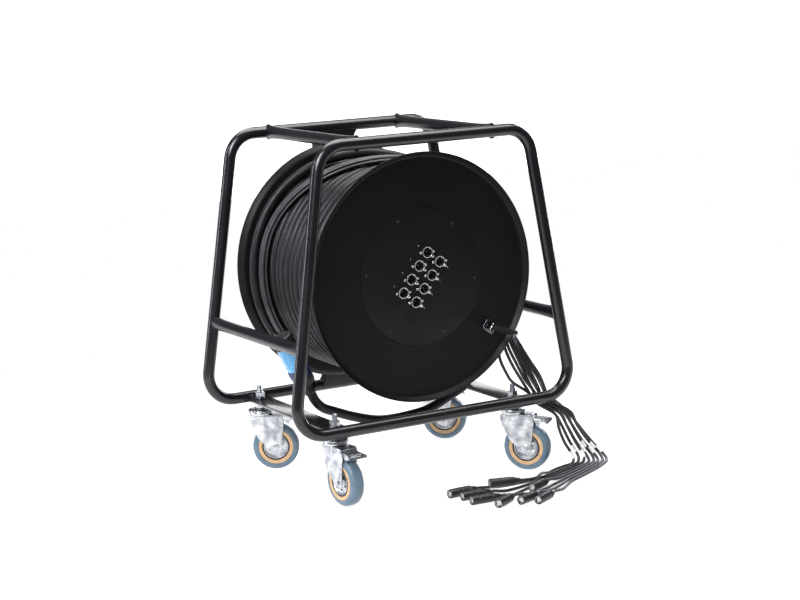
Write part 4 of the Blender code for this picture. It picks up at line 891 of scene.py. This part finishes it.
def makeTie(look, radius):
    # the tie that holds the bundle together, with its head and a white dot
    angle, (wide, high, along, thick) = math.radians(look["tieTurn"]), look["tie"].values()
    middle = look["thinLeft"] + look["thinLeftSpacing"] * 2
    centre = aroundDrum(radius + look["thinRise"] + look["thinStack"] / 2, angle, middle)
    outward = Vector((math.cos(angle), 0, math.sin(angle)))
    lay = facing(rearward, outward, rearward.cross(outward)).to_4x4()
    lay.translation = centre
    outer, inner = rectangle(wide, high), rectangle(wide - 2 * thick, high - 2 * thick)
    outer, inner = roundCorners(outer, look["tieCorner"], 8), roundCorners(inner, look["tieInnerCorner"], 8)
    tie = platePiece("bundleTie", outer, along, lay, "blackPlastic", 0)
    carve(tie, platePiece("tieCutter", inner, along * 2, lay, "blackPlastic", 0))
    roundEdges(tie, look["tieEdge"])
    headPlace, dotPlace = (centre + outward * (high / 2 + look[rise]) + rearward * (wide * look["headPlace"])
                           for rise in ("headRise", "dotRise"))
    head = boxPiece("tieHead", look["tieHead"], headPlace, "blackPlastic", 0.0008, lay.to_quaternion())
    give(merge([tie, head], "bundleTie", "blackPlastic"), "root")
    dot = rodPiece("tieDot", look["dotRadius"], look["dotThick"], dotPlace, outward, "labelWhite", 24, 0.0002)
    give(dot, "root")


makeWinding(windingSizes)
bundleRadius = sum(windingSizes[key] for key in ("centre", "cable", "thin", "thinLift"))
makeLeadIns(windingSizes, bundleRadius)
makeTie(windingSizes, bundleRadius)
print("winding made")


# loose trunk end and its plug
plugSizes = {
    "cable": 0.010, "plane": -0.030, "seat": 0.0212,
    "leadTurn": 216, "leadDive": 20, "leadSteps": 130, "sink": 0.020, "crossing": 150, "shift": 0.162,
    "route": [(0.2365, 0.370), (0.2360, 0.330), (0.2220, 0.260), (0.1950, 0.200), (0.1720, 0.165),
              (0.1360, 0.148), (0.0840, 0.127), (0.0340, 0.120), (-0.0370, 0.120), (-0.0990, 0.136),
              (-0.1450, 0.154), (-0.1740, 0.167)],
    "start": (-0.2000, 0.203), "end": (-0.2635, 0.330), "routeStep": 0.006,
    "gland": 0.044, "body": 0.073, "collar": 0.018, "cap": 0.024, "radius": 0.0215, "capRadius": 0.0230,
    "tab": (0.0150, 0.0052, 0.0130), "tabPlace": 0.0115,
}


def trunkLine(look):
    # the last turn comes up from under the winding, crosses to the front and hangs down to the plug
    radius = windingSizes["centre"] + look["seat"]
    first, last = Vector(look["start"]), Vector(look["end"])
    along = (last - first).normalized()
    ends = [tuple(first - along * (2 * look["cable"] + hairGap)), tuple(first - along * hairGap)]
    flat = [(radius, drumHeight), (radius, drumHeight - 2 * look["cable"])] + look["route"] + ends
    hanging, _ = smoothRoute([(x, midY + look["plane"], z) for x, z in flat], look["routeStep"])
    lead = []
    for i in range(look["leadSteps"]):
        angle = (look["leadTurn"] + look["leadDive"]) * (1 - i / look["leadSteps"])
        dive = max(0, (angle - look["leadTurn"]) / look["leadDive"])
        plane = look["plane"] + look["shift"] * eased(min(1, angle / look["crossing"]))
        lead.append(aroundDrum(radius - look["sink"] * dive ** 1.5, math.radians(angle), plane))
    plugStart, axis = Vector((first.x, midY + look["plane"], first.y)), Vector((along.x, 0, along.y))
    return lead + hanging, plugStart, axis


def ribbedPiece(name, profile, material, start, axis, rib, count, size, along, reach, phase=0.0):
    # a turned piece with ribs set around it
    parts = [spunPiece(name, profile, material, 64, start, axis)]
    for i in range(count):
        turn = 2 * math.pi * (i + phase) / count
        side = rearward * math.cos(turn) + axis.cross(rearward) * math.sin(turn)
        spin = facing(side.cross(axis) * -1, side, axis).to_quaternion()
        parts.append(boxPiece(rib, size, start + axis * along + side * reach, material, 0.0005, spin))
    return merge(parts, name, material)


def glandProfile(cable, big, length):
    # a nut, then seven flexible rings that narrow down to the cable
    points = [(0, length - 0.0002), *offsets(big, length, (-1.2, -0.2), (-0.2, -1.2))]
    points.append((big - 0.0002, length * 0.60))
    for i in range(7):
        wide = big + (cable * 1.42 - big) * min(1, (i + 1) / 6.2)
        points += offsets(wide, length * (0.56 - 0.062 * i), (0, 0), (-1.1, -0.6), (-1.1, -1.6), (-0.3, -2.2))
    return points + [(cable * 1.38, 0.0048), (cable * 1.30, 0.0008), (cable * 1.18, 0.0), (0, 0)]


def makeTrunkEnd(look):
    points, start, axis = trunkLine(look)
    points.append(points[-1] + (points[-1] - points[-2]).normalized() * look["routeStep"])
    trunk = curvePiece("trunkTail", points, look["cable"], "jacket", 8)
    give(trunk, "root", "trunk_tail")

    big, gland, collar, length = (look[key] for key in ("radius", "gland", "collar", "body"))
    wide, capLength, finLength = look["capRadius"], look["cap"], length - collar - 0.023
    cord, body = glandProfile(look["cable"], big, gland), start + axis * (gland + hairGap)
    gland = ribbedPiece("plugGland", cord, "blackPlastic", start, axis, "glandRib", 10,
                        (0.0042, 0.0016, gland * 0.32), gland * 0.80, big - 0.0004)
    profile = [(0, 0), *offsets(wide, 0, (-1.2, 0), (0, 1)), *offsets(wide, collar, (0, -1.2), (-1, 0)),
               (0, collar)]
    darkCollar = ribbedPiece("plugCollar", profile, "bluePlastic", body, axis, "collarRib", 16,
                             (0.0034, 0.0014, collar * 0.7), collar * 0.5, wide - 0.0002)
    profile = [(0, collar + 0.0002), *offsets(big, collar, (-1.4, 0.2), (-0.2, 1.4), (-0.2, 9), (-1.4, 10)),
               *offsets(big, length, (-1.4, -13), (0, -11.5), (0, -1), (-1, 0)), (0, length)]
    start = body + axis * (length + hairGap)
    body = ribbedPiece("plugBody", profile, "paleBlue", body, axis, "bodyRib", 8,
                       (0.0022, 0.0018, finLength), collar + 0.010 + finLength / 2, big - 0.0014, 0.5)
    profile = [(0, 0), *offsets(wide, 0, (-0.8, 0), (0, 0.8), (0, 6), (-1, 6.8), (-1, 8.2), (0, 9)),
               *offsets(wide, capLength, (0, -3.4), (-1, -1.2), (-3.4, 0), (-9, 0), (-10, -0.8)),
               (0, capLength - 0.0008)]
    cap = spunPiece("plugCap", profile, "blackPlastic", 64, start, axis)
    leftward = Vector((-1, 0, 0))
    side = (leftward - axis * leftward.dot(axis)).normalized()
    spin = facing(rearward, side, rearward.cross(side)).to_quaternion()
    place = start + axis * look["tabPlace"] + side * (wide - 0.0002)
    tab = boxPiece("capTab", look["tab"], place, "blackPlastic", 0.0012, spin)
    cap = merge([cap, tab], "plugCap", "blackPlastic")

    give(gland, "root", "plug_gland")
    give(body, "root", "plug_body")
    give(cap, "root", "plug_cap")
    give(darkCollar, "root")


makeTrunkEnd(plugSizes)
print("trunk end made")


# thin tails and their connectors
tailSizes = {
    "radius": 0.00325, "lift": 0.0004, "routeStep": 0.006, "plugIn": 0.004, "rollStart": 0.4, "rollStep": 0.9,
    "sleeve": 0.0040, "sleeveHeights": (0.030, 0.042, 0.026, 0.034, 0.048, 0.028, 0.040, 0.030),
    "connectorRadius": 0.0093, "connectorLength": 0.066, "low": 0.0096, "high": 0.0225,
    "core": (0.0098, 0.0076, 0.0095), "tongue": (0.0056, 0.0014, 0.0085), "latch": (0.0054, 0.0020, 0.0150),
    "pin": (0.0005, 0.0008, 0.0050), "pins": 8, "pinSpacing": 0.00105,
}
onFloor = 3.6  # the height of a tail's middle where it lies on the floor
# in millimetres, from where each tail leaves the winding to its connector
tailRoutes = [
    [(193, -149.4, 300), (187, -149.6, 268), (188, -150, 241), (195, -160, 213), (203, -170, 193),
     (230, -186, 170), (247, -187.2, 155), (258.5, -190, 138), (292.5, -201, 112), (299, -200, 85),
     (315, -198, 48), (327, -201, 27), (331, -207, 12), (322, -214, 4.5), (300, -219, onFloor),
     (270, -229, onFloor), (240, -243, 4.5), (215, -259, 10.5), (193, -280, 14), (172, -303, 18),
     (150, -317, 21.5)],
    [(199, -146.5, 285), (204, -149, 256), (214, -160, 222), (226, -172, 193), (238, -180, 168),
     (247, -180.2, 152), (261, -182, 137), (297, -190, 112), (313, -191, 85), (333, -191, 46),
     (344, -195, 26), (347, -203, 12), (338, -213, 4.4), (315, -225, onFloor), (240, -256, onFloor),
     (195, -268, onFloor), (150, -272, onFloor), (110, -271, onFloor), (78, -270, 6)],
    [(206.5, -141.5, 295), (212, -147, 262), (223, -159, 227), (234.5, -172.5, 193), (248, -187.2, 167),
     (256.5, -187.2, 152), (270, -190, 137), (305.5, -201.5, 112.5), (321, -199, 85), (341, -200, 47),
     (353, -201, 27), (357, -209, 12.5), (348, -218, 4.6), (325, -230, onFloor), (300, -240.5, onFloor),
     (240, -267, onFloor), (195, -281, onFloor), (155, -294, onFloor), (115, -304, onFloor), (87, -309, 5)],
    [(213, -135.5, 300), (220, -145, 268), (232, -157, 229), (243.5, -168, 193), (250, -180, 167),
     (256.5, -180.3, 152), (273.5, -183, 137), (309.5, -190, 112), (326, -190, 85), (348, -191, 46),
     (361, -194, 26), (367, -205, 13), (360, -222, 4.6), (333, -239, onFloor), (300, -252.5, onFloor),
     (240, -278, onFloor), (195, -292, onFloor), (165, -305, onFloor), (135, -319, onFloor),
     (110, -331, onFloor), (84, -343, 5)],
    [(220, -129.5, 303), (227, -142, 273), (239, -154, 233), (250.5, -171, 193), (258, -187, 167),
     (265.5, -187, 152), (281.5, -190, 137), (319, -201, 112.5), (334, -199, 85), (356, -200, 47),
     (370, -201, 27), (377, -210, 13), (370, -226, 5), (337, -246.5, onFloor), (300, -263.5, onFloor),
     (245, -287, onFloor), (222, -296.5, 5)],
    [(226, -123.5, 302), (234, -138, 268), (247, -152, 231), (260.5, -166, 193), (265.5, -179.5, 167),
     (268, -180.5, 152), (287, -183, 138), (320, -190, 112), (339, -190, 85), (364, -191, 46),
     (380, -194, 26), (387, -205, 13), (380, -228, 5), (345, -252, onFloor), (300, -275, onFloor),
     (240, -303, onFloor), (195, -327, onFloor), (150, -348.5, onFloor), (128, -354, onFloor),
     (104, -354, 5.5)],
    [(231, -117.5, 302), (240, -133, 268), (254, -149, 231), (269, -168, 193), (272, -187, 167),
     (278, -187, 152), (293, -190, 138), (331, -200.5, 113), (346, -199, 85), (372, -200, 47),
     (389, -201, 27), (397, -211, 13), (389, -232, 5), (352, -258.5, onFloor), (300, -286, onFloor),
     (240, -315, onFloor), (200, -341, onFloor), (165, -360.5, 5)],
    [(235, -112, 302), (248, -128, 268), (262, -146, 231), (277.5, -166, 193), (280, -180, 167),
     (285, -180.5, 152), (301, -184, 140), (330, -190, 113), (354, -191, 82), (380, -194, 48),
     (399, -196, 26), (407, -207, 13), (400, -232, 5), (360, -264, onFloor), (303, -296, onFloor),
     (240, -328, onFloor), (212, -350, onFloor), (188, -369, 5)],
]
# each connector's nose and back on the floor plan, and its height
connectorPlaces = [
    ((0.060, -0.2955), (0.124, -0.3135), "high"), ((-0.023, -0.274), (0.043, -0.271), "low"),
    ((-0.012, -0.305), (0.054, -0.309), "low"), ((-0.014, -0.343), (0.052, -0.347), "low"),
    ((0.135, -0.338), (0.195, -0.3085), "low"), ((0.017, -0.394), (0.0745, -0.3616), "low"),
    ((0.065, -0.401), (0.1264, -0.3767), "low"), ((0.094, -0.420), (0.1525, -0.3893), "low"),
]


def makeConnectorParts(look):
    # one cable connector at the origin, its nose at Z = 0 and its cable leaving along +Z
    radius, length = look["connectorRadius"], look["connectorLength"]
    shell = offsets(radius, 0, (-1.6, 0.8), (-1.4, 0.2), (-0.8, 0), (-0.2, 0.6), (0, 1.4), (0, 15),
                    (-0.6, 15.8), (-0.6, 17.2), (0, 18), (0, 30), (-0.5, 30.6), (-0.5, 31.8), (0, 32.4),
                    (0, 42))
    for i in range(4):
        groove = ((0, 0), (-0.7, 0.6), (-0.7, 1.4), (-0.1, 2))
        shell += offsets(radius - 0.0002 * i, 0.0430 + 0.0022 * i, *groove)
    shell += [(radius - 0.0014, 0.0525), (radius * 0.64, 0.0600), (radius * 0.56, length - 0.0008),
              (radius * 0.50, length), (0, length), (0, 0.0125), (radius - 0.0016, 0.0125), shell[0]]
    nose = offsets(radius, 0, (-1.7, 12.5), (-1.7, 1.6), (-2, 1.2), (-2.5, 1.4), (-2.6, 2.2), (-2.6, 12.5))
    body = spunPiece("connectorBody", shell, "blackPlastic", 40)
    nose = spunPiece("connectorNose", nose, "nickel", 40)
    core = boxPiece("connectorCore", look["core"], (0, 0, 0.0078), "labelWhite", 0.0005)
    tongue = boxPiece("connectorTongue", look["tongue"], (0, -0.0046, 0.0078), "labelWhite", 0.0004)
    middle = (look["pins"] - 1) / 2
    pins = [boxPiece("pin", look["pin"], ((i - middle) * look["pinSpacing"], 0.0036, 0.0056), "gold", 0.0)
            for i in range(look["pins"])]
    pins = merge(pins, "connectorPins", "gold")
    core = merge([core, tongue], "connectorCore", "labelWhite")
    latch = boxPiece("connectorLatch", look["latch"], (0, radius - 0.0008, 0.0225), "blackPlastic", 0.0006)
    return [body, nose, core, pins, latch]


def makeTails(look):
    parts = makeConnectorParts(look)
    thin, toWorld = look["radius"], Vector((0, midY, 0))
    radius = windingSizes["centre"] + windingSizes["cable"] + thin + look["lift"]
    for k, (nose, back, height) in enumerate(connectorPlaces):
        angle = math.radians(-windingSizes["thinStarts"][k])
        plane = windingSizes["thinFirst"] + windingSizes["thinSpacing"] * k
        start = Vector((radius * math.cos(angle), plane, drumHeight + radius * math.sin(angle)))
        down = Vector((math.sin(angle), 0, -math.cos(angle)))
        nose, back = Vector((*nose, look[height])), Vector((*back, look[height]))
        outward = (back - nose).normalized()
        back = nose + outward * look["connectorLength"]
        route = [start, start + down * 2 * thin]
        route += [Vector([value / 1000 for value in place]) for place in tailRoutes[k]]
        route += [back + outward * (2 * thin + hairGap), back + outward * hairGap]
        points, length = smoothRoute([place + toWorld for place in route], look["routeStep"])
        points.append(points[-1] - outward * look["plugIn"])
        tail = curvePiece("tail%d" % (k + 1), points, thin, "thinJacket", 5)
        give(tail, "root", "tail_%d" % (k + 1))
        low = next(i for i, p in enumerate(points) if p.z < look["sleeveHeights"][k])
        sleeve = tubePiece("tailSleeve%d" % (k + 1), points[low:low + 4], look["sleeve"], "sleeveWhite", 6)
        roundEdges(sleeve, 0.0004)
        give(sleeve, "root")
        roll = Matrix.Rotation(k * look["rollStep"] + look["rollStart"], 4, "Z")
        lay = Matrix.Translation(nose + toWorld) @ towards(outward).to_matrix().to_4x4() @ roll
        for part in parts:
            node = "connector_%d" % (k + 1) if part.name == "connectorBody" else None
            copy = copyPiece(part, "%s%d" % (part.name, k + 1), lay)
            give(copy, "root", node)
    drop(*parts)


makeTails(tailSizes)
print("tails made")


# casters
casterSizes = {
    "wheel": 0.050, "width": 0.030, "tyreInner": 0.0295, "trail": 0.030,
    "sheet": 0.0025, "gap": 0.002, "crown": 0.1185, "crownThick": 0.003,
    "race": 0.026, "raceHeight": 0.007, "head": 0.006, "stem": 0.006, "stemTop": 0.184, "pitch": 0.0012,
    "nutFlats": 0.019, "nut": 0.0094, "washer": 0.0115, "washerThick": 0.0035, "shoulder": 0.012,
    "pedalOut": 0.042, "pedalHeight": 0.1115, "pedalPin": 0.0022, "pedalReach": 0.078, "pedalHalf": 0.021,
    "pedalTip": 0.0022, "pedalCurl": 0.0048, "pedalBends": (0.0206, 0.0290),
    "treadRib": (0.0012, 0.026, 0.0016), "treadRibs": 4, "treadStart": 0.0130, "treadSpacing": 0.0034,
    "forkEye": 0.0125, "bolt": 0.0085, "boltHigh": 0.005, "boltFlats": 0.0130,
    "discHoles": 6, "discHole": 0.0026, "discCircle": 0.0165,
}
# side, place along the reel and heading
casterCorners = {
    "front_left": (-1, -0.156, -85), "rear_left": (-1, 0.1825, -30),
    "front_right": (1, -0.156, -50), "rear_right": (1, 0.1825, -37),
}


def hexPiece(name, flats, height, centre, material, turn=0.0):
    selectNothing()
    bpy.ops.mesh.primitive_cylinder_add(vertices=6, radius=flats / math.sqrt(3), depth=height,
                                        location=(0, 0, 0), rotation=(0, 0, turn))
    piece = settle(bpy.context.object)
    # a cone trims the six corners as on a real nut
    cone = [(0, height / 2), (flats * 0.49, height / 2), (flats * 0.60, height / 2 - flats * 0.05)]
    carve(piece, spunPiece("nutTrim", mirrored(cone), material, 48), "INTERSECT")
    piece.location = centre
    return finishPiece(piece, name, material)


def makeStemParts(look):
    stem, race, washer, shoulder = (look[key] for key in ("stem", "race", "washer", "shoulder"))
    barTop, stemTop = frameSizes["barTop"], look["stemTop"]
    barBottom = barTop - frameSizes["barThick"] - hairGap
    washerBottom = barTop + hairGap
    washerTop = washerBottom + look["washerThick"]
    headBottom = look["crown"] + look["crownThick"] + look["raceHeight"] + hairGap
    headTop = headBottom + look["head"]
    profile = [(0, stemTop), (stem * 0.72, stemTop), (stem * 0.84, stemTop - 0.0008)]
    height = stemTop - 0.0016
    while height > washerTop + 0.0002:
        profile += [(stem - 0.0001, height), (stem - 0.0008, height - look["pitch"] / 2)]
        height -= look["pitch"]
    profile += [(stem * 0.88, washerTop - 0.001), (0, washerTop - 0.001)]
    thread = spunPiece("stemThread", profile, "zinc", 32)
    inner, middle, top = stem + 0.0003, washerTop - 0.0010, washerTop + 0.0006
    flat = spunPiece("stemWasher", washerProfile(inner, washer, washerBottom, middle), "zinc", 48)
    spring = spunPiece("stemSpringWasher", washerProfile(inner, stem + 0.0038, middle, top), "zinc", 40)
    nut = hexPiece("stemNut", look["nutFlats"], look["nut"], (0, 0, top + look["nut"] / 2), "zinc", 0.3)
    head = spunPiece("stemHead", [
        (0, barBottom), *offsets(shoulder, barBottom, (-0.4, 0), (0, -0.4)),
        *offsets(shoulder, headTop, (0, 1.2), (1.2, 0)),
        (race * 0.74, headTop - 0.0002), (race * 0.90, headTop - 0.0014), (race * 1.02, headBottom + 0.0024),
        (race * 1.04, headBottom + 0.0016), (race * 1.04, headBottom + 0.0003), (race * 1.03, headBottom),
        (0, headBottom)], "zinc", 72)
    return merge([thread, flat, spring, nut, head], "casterStem", "zinc")


def makeForkParts(look):
    width = look["width"] + 2 * look["gap"] + 2 * look["sheet"]
    half, top, axle, trail = width / 2, look["crown"] + look["crownThick"], look["wheel"], look["trail"]
    out, race, high, pin = look["pedalOut"], look["race"], look["boltHigh"], look["pedalPin"]
    outline = arcPoints((trail, axle), look["forkEye"], math.radians(-155), math.radians(-5), 18)
    outline += [(out + 0.006, 0.096), (out + 0.007, 0.104), (out + 0.007, 0.111), (out + 0.0055, 0.117),
                (out + 0.003, top), (-0.020, top), (-0.0225, top - 0.0018), (-0.024, top - 0.005),
                (-0.0232, 0.108), (-0.020, 0.098), (-0.013, 0.083), (-0.004, 0.066)]
    fork = platePiece("casterFork", outline, width, sideways, "zinc", 0.0012, 3)
    slot = (0.2, width - 2 * look["sheet"], look["crown"])
    carve(fork, boxPiece("slotCutter", slot, (0, 0, look["crown"] / 2), "zinc", 0))
    raceTop = top + look["raceHeight"]
    profile = [(0, raceTop), *offsets(race, raceTop, (-2.2, 0), (-0.6, -0.8), (0, -2.4)),
               *offsets(race, top, (0, 2.4), (-1, 0.8), (-3, -0.6)), (0, top - 0.0006)]
    parts = [fork, spunPiece("forkRace", profile, "zinc", 72)]
    bolt, end = look["bolt"], half + high - 0.0010
    profile = [(0, end), *offsets(0, end, (4.2, 0), (4.8, -0.6)), (bolt * 0.55, half + 0.0012),
               (bolt * 0.97, half + 0.0010), *offsets(bolt, half, (0, 0.4), (0, -0.2)),
               (0.005, half - 0.0004)]
    parts.append(spunPiece("wheelBolt", mirrored(profile), "zinc", 48, (trail, 0, axle), rearward))
    for side in (-1, 1):
        nut = hexPiece("boltHead", look["boltFlats"], high - 0.0012, origin, "zinc", 0.2)
        lay = Matrix.Translation((trail, side * (half + high / 2), axle)) @ sideways
        parts.append(copyPiece(nut, "boltHeadSet", lay))
        drop(nut)
    end = half + 0.0006
    profile = [(0, end), (pin * 1.3, end), (pin * 1.6, end - 0.0006), (pin, end - 0.0008)]
    centre = (out, 0, look["pedalHeight"])
    parts.append(spunPiece("pedalPin", mirrored(profile), "zinc", 28, centre, rearward))
    return merge(parts, "casterFork", "zinc")


def makePedalParts(look):
    half = look["width"] / 2 + look["gap"] - hairGap
    reach, (first, second) = look["pedalReach"] - look["pedalOut"], look["pedalBends"]
    tip = reach + look["pedalTip"]
    outline = arcPoints((0, 0), look["pedalCurl"], math.radians(35), math.radians(300), 24)
    outline += [(0.0105, -0.0052), (0.0125, -0.0105), (0.0195, -0.0115), (0.0205, -0.0045),
                (reach - 0.002, -0.0048), (reach, -0.0075), (tip, -0.0070), (reach + 0.0002, -0.0018),
                (0.0200, 0.0012), (0.0110, 0.0020)]
    pedal = platePiece("brakePedal", outline, 2 * half, sideways, "zinc", 0.0)
    # the tread end is drawn wider, as the pressed pedal is
    pickUp(pedal)
    startEdit()
    for x in look["pedalBends"]:
        bpy.ops.mesh.select_all(action="SELECT")
        bpy.ops.mesh.bisect(plane_co=(x, 0, 0), plane_no=(1, 0, 0))
    bpy.ops.object.mode_set(mode="OBJECT")
    full = look["pedalHalf"] / half
    partly = 1 + (second - first) / (tip - first) * (full - 1)
    for limit, factor in ((second - 0.001, partly), (reach - 0.003, full / partly)):
        for part in (*pedal.data.vertices, *pedal.data.edges, *pedal.data.polygons):
            part.select = False
        for vertex in pedal.data.vertices:
            vertex.select = vertex.co.x > limit
        bpy.ops.object.mode_set(mode="EDIT")
        bpy.ops.mesh.select_mode(type="VERT")
        bpy.ops.transform.resize(value=(1, factor, 1), center_override=(0, 0, 0))
        bpy.ops.object.mode_set(mode="OBJECT")
    carve(pedal, rodPiece("holeCutter", look["pedalPin"] + hairGap, 0.1, origin, rearward, "zinc", 28, 0))
    roundEdges(pedal, 0.0005, 2, 40)
    places = [reach - look["treadStart"] + look["treadSpacing"] * i for i in range(look["treadRibs"])]
    ribs = [boxPiece("treadRib", look["treadRib"], (x, 0, 0.0004), "zinc", 0.0004) for x in places]
    pedal = merge([pedal] + ribs, "brakePedal", "zinc")
    pedal.matrix_world = Matrix.Translation((look["pedalOut"], 0, look["pedalHeight"]))
    return finishPiece(pedal, "brakePedal", "zinc")


def makeWheelParts(look):
    wheel, half, inner = look["wheel"], look["width"] / 2, look["tyreInner"] * 1000
    centre, rim = (look["trail"], 0, wheel), inner - hairGap * 1000

    def ringPiece(name, points, material, steps=72, angle=35):
        # the points are (radius, depth below the wheel's side) in millimetres
        profile = mirrored(offsets(0, half, *((radius, -depth) for radius, depth in points)))
        return spunPiece(name, profile + profile[:1], material, steps, centre, rearward, angle)

    # zinc centre with a raised boss, then the dark and the tan ring set into the tyre's inner side
    disc = ringPiece("wheelDisc", [
        (5.3, -1.6), (9, -1.6), (9.5, -1), (9.8, 3), (11.2, 4.6), (13, 5), (21.5, 5), (23.2, 4.4), (24, 2.2),
        (25.2, 1.2), (26.2, 1.2), (26.6, 1.8), (26.6, 4)], "zinc")
    for i in range(look["discHoles"]):
        turn, circle = 2 * math.pi * (i + 0.5) / look["discHoles"], look["discCircle"]
        place = (look["trail"] + circle * math.cos(turn), 0, wheel + circle * math.sin(turn))
        carve(disc, rodPiece("discHole", look["discHole"], 0.05, place, rearward, "zinc", 20, 0))
    finishPiece(disc, "wheelDisc", "zinc")
    dark = [(26.6, 1.6), (27, 0.6), (28.8, 0.6), (rim - 0.1, 1), (rim, 3)]
    dark = ringPiece("wheelDarkRing", dark, "blackPlastic")
    tan = [(inner, 2.2), (inner + 0.4, 0.8), (35, 0.2), (37.2, 0.4), (37.4, 1.6)]
    tan = ringPiece("wheelTanRing", tan, "tanPlastic")
    tyre = [(37.4, 2), (37.6, 0.4), (39, 0), (41.5, 0), (44, 0.6), (46.5, 2.2), (48.5, 4.6), (49.5, 7),
            (wheel * 1000 - 0.1, 9.6), (wheel * 1000, 12)]
    tyre = ringPiece("wheelTyre", tyre, "greyRubber", 96, 50)
    return disc, dark, tan, tyre


def makeCasters(look):
    stem, fork, pedal = makeStemParts(look), makeForkParts(look), makePedalParts(look)
    disc, dark, tan, tyre = makeWheelParts(look)
    # piece, body, slot and the node that it replaces
    roles = [(stem, "root", "zinc", "caster_stem_"), (fork, "fork_", "zinc", "caster_fork_"),
             (pedal, "pedal_", "zinc", "brake_pedal_"), (disc, "wheel_", "zinc", "wheel_hub_"),
             (dark, "wheel_", "black_plastic", None), (tan, "wheel_", "zinc", None),
             (tyre, "wheel_", "grey_rubber", "tyre_")]
    for corner, (side, y, heading) in casterCorners.items():
        turn = Matrix.Rotation(math.radians(heading), 4, "Z")
        place = Matrix.Translation((side * casterOffset, midY + y, 0)) @ turn
        for part, body, slot, node in roles:
            copy = copyPiece(part, part.name + corner.title().replace("_", ""), place)
            give(copy, body if body == "root" else body + corner, node and node + corner)
    drop(stem, fork, pedal, disc, dark, tan, tyre)


makeCasters(casterSizes)
print("casters made")


# floor and lights
studioLook = {
    "floor": (9.0, 7.0), "floorFront": -1.25, "floorColor": (0.34, 0.34, 0.345), "floorGlow": 0.84,
    "fadeStart": 0.7, "fadeEnd": 1.6, "cardColor": (0.9, 0.9, 0.9), "cardGlow": 1.0, "paperRoughness": 0.8,
    "backdrop": (11.0, 5.0), "backdropPlace": (1.2, 4.6, 2.5),
    "reflector": (3.2, 1.7), "reflectorPlace": (2.9, 4.4, 1.0), "worldStrength": 0.10,
    # name, place, aim, size, power and tint
    "lights": [
        ("topSoftbox", (0.5, 0.3, 3.0), (0.1, 0.05, 0.3), (3.6, 1.9), 135, (1, 1, 1)),
        ("keySoftbox", (-3.0, -2.3, 2.3), (0, 0, 0.3), (1.6, 1.6), 75, (1, 1, 1)),
        ("edgeSoftbox", (-2.0, -1.0, 2.5), (0.2, -0.1, 0.25), (1.3, 1.3), 75, (0.94, 0.95, 1)),
        ("leftStrip", (-2.5, 1.3, 1.2), (0, 0, 0.45), (0.35, 2.2), 34, (0.86, 0.88, 1)),
        ("rightStrip", (2.6, 1.4, 1.2), (0, 0, 0.45), (0.4, 2.2), 44, (0.86, 0.88, 1)),
    ],
}
white = (1, 1, 1, 1)


def glowPaper(name, color, glow, look):
    paper = newMaterial(name, color, look["paperRoughness"], specular=0.0)
    inputs = surface(paper.node_tree).inputs
    inputs["Emission Color"].default_value = white
    inputs["Emission Strength"].default_value = glow
    return paper


def sheetPiece(name, size, place, material, tilt=0):
    selectNothing()
    bpy.ops.mesh.primitive_plane_add(size=1, location=place, rotation=(math.radians(tilt), 0, 0))
    sheet = bpy.context.object
    sheet.name = name
    sheet.scale = (*size, 1)
    settle(sheet)
    sheet.data.materials.append(material)
    return sheet


def makeStudio(look):
    # away from the reel the floor's paper turns to plain white light
    paper = glowPaper("floorPaper", look["floorColor"], look["floorGlow"], look)
    tree = paper.node_tree
    coords = addNode(tree, "TexCoord")
    reach = addNode(tree, "VectorMath")
    reach.operation = "LENGTH"
    fade = addNode(tree, "MapRange", {"From Min": look["fadeStart"], "From Max": look["fadeEnd"]})
    fade.interpolation_type = "SMOOTHSTEP"
    light = addNode(tree, "Emission", {"Strength": 1.0})
    blend = addNode(tree, "MixShader")
    wire(tree, (coords, "Object", reach, 0), (reach, "Value", fade, "Value"), (fade, "Result", blend, "Fac"),
         (surface(tree), "BSDF", blend, 1), (light, "Emission", blend, 2),
         (blend, "Shader", tree.nodes["Material Output"], "Surface"))
    sheetPiece("studioFloor", look["floor"], (0, look["floorFront"] + look["floor"][1] / 2, 0), paper)

    # the backdrop is white for the camera, and a lower card before it is what the tops of the bars mirror
    card = glowPaper("backdropCard", look["cardColor"], look["cardGlow"], look)
    backdrop = sheetPiece("studioBackdrop", look["backdrop"], look["backdropPlace"], card, 90)
    backdrop.visible_glossy = False
    sheetPiece("reflectorCard", look["reflector"], look["reflectorPlace"], card, 90)

    # the world is white to the camera and dim to everything else
    world = bpy.data.worlds.new("studioWorld")
    bpy.context.scene.world = world
    world.use_nodes = True
    tree = world.node_tree
    lit = tree.nodes["Background"]
    lit.inputs["Color"].default_value = white
    lit.inputs["Strength"].default_value = look["worldStrength"]
    seen = addNode(tree, "Background", {"Color": white, "Strength": 1.0})
    rays = addNode(tree, "LightPath")
    mix = addNode(tree, "MixShader")
    wire(tree, (rays, "Is Camera Ray", mix, "Fac"), (lit, "Background", mix, 1), (seen, "Background", mix, 2),
         (mix, "Shader", tree.nodes["World Output"], "Surface"))

    for name, place, aim, size, power, tint in look["lights"]:
        bpy.ops.object.light_add(type="AREA", location=place)
        light = bpy.context.object
        light.name = name
        light.data.shape = "RECTANGLE"
        light.data.size, light.data.size_y = size
        light.data.energy = power
        light.data.color = tint
        light.rotation_mode = "QUATERNION"
        light.rotation_quaternion = (Vector(place) - Vector(aim)).to_track_quat("Z", "Y")


makeStudio(studioLook)
scene = bpy.context.scene
scene.view_settings.view_transform = "Standard"
scene.render.resolution_x, scene.render.resolution_y = cameraLook["picture"]
print("studio made")
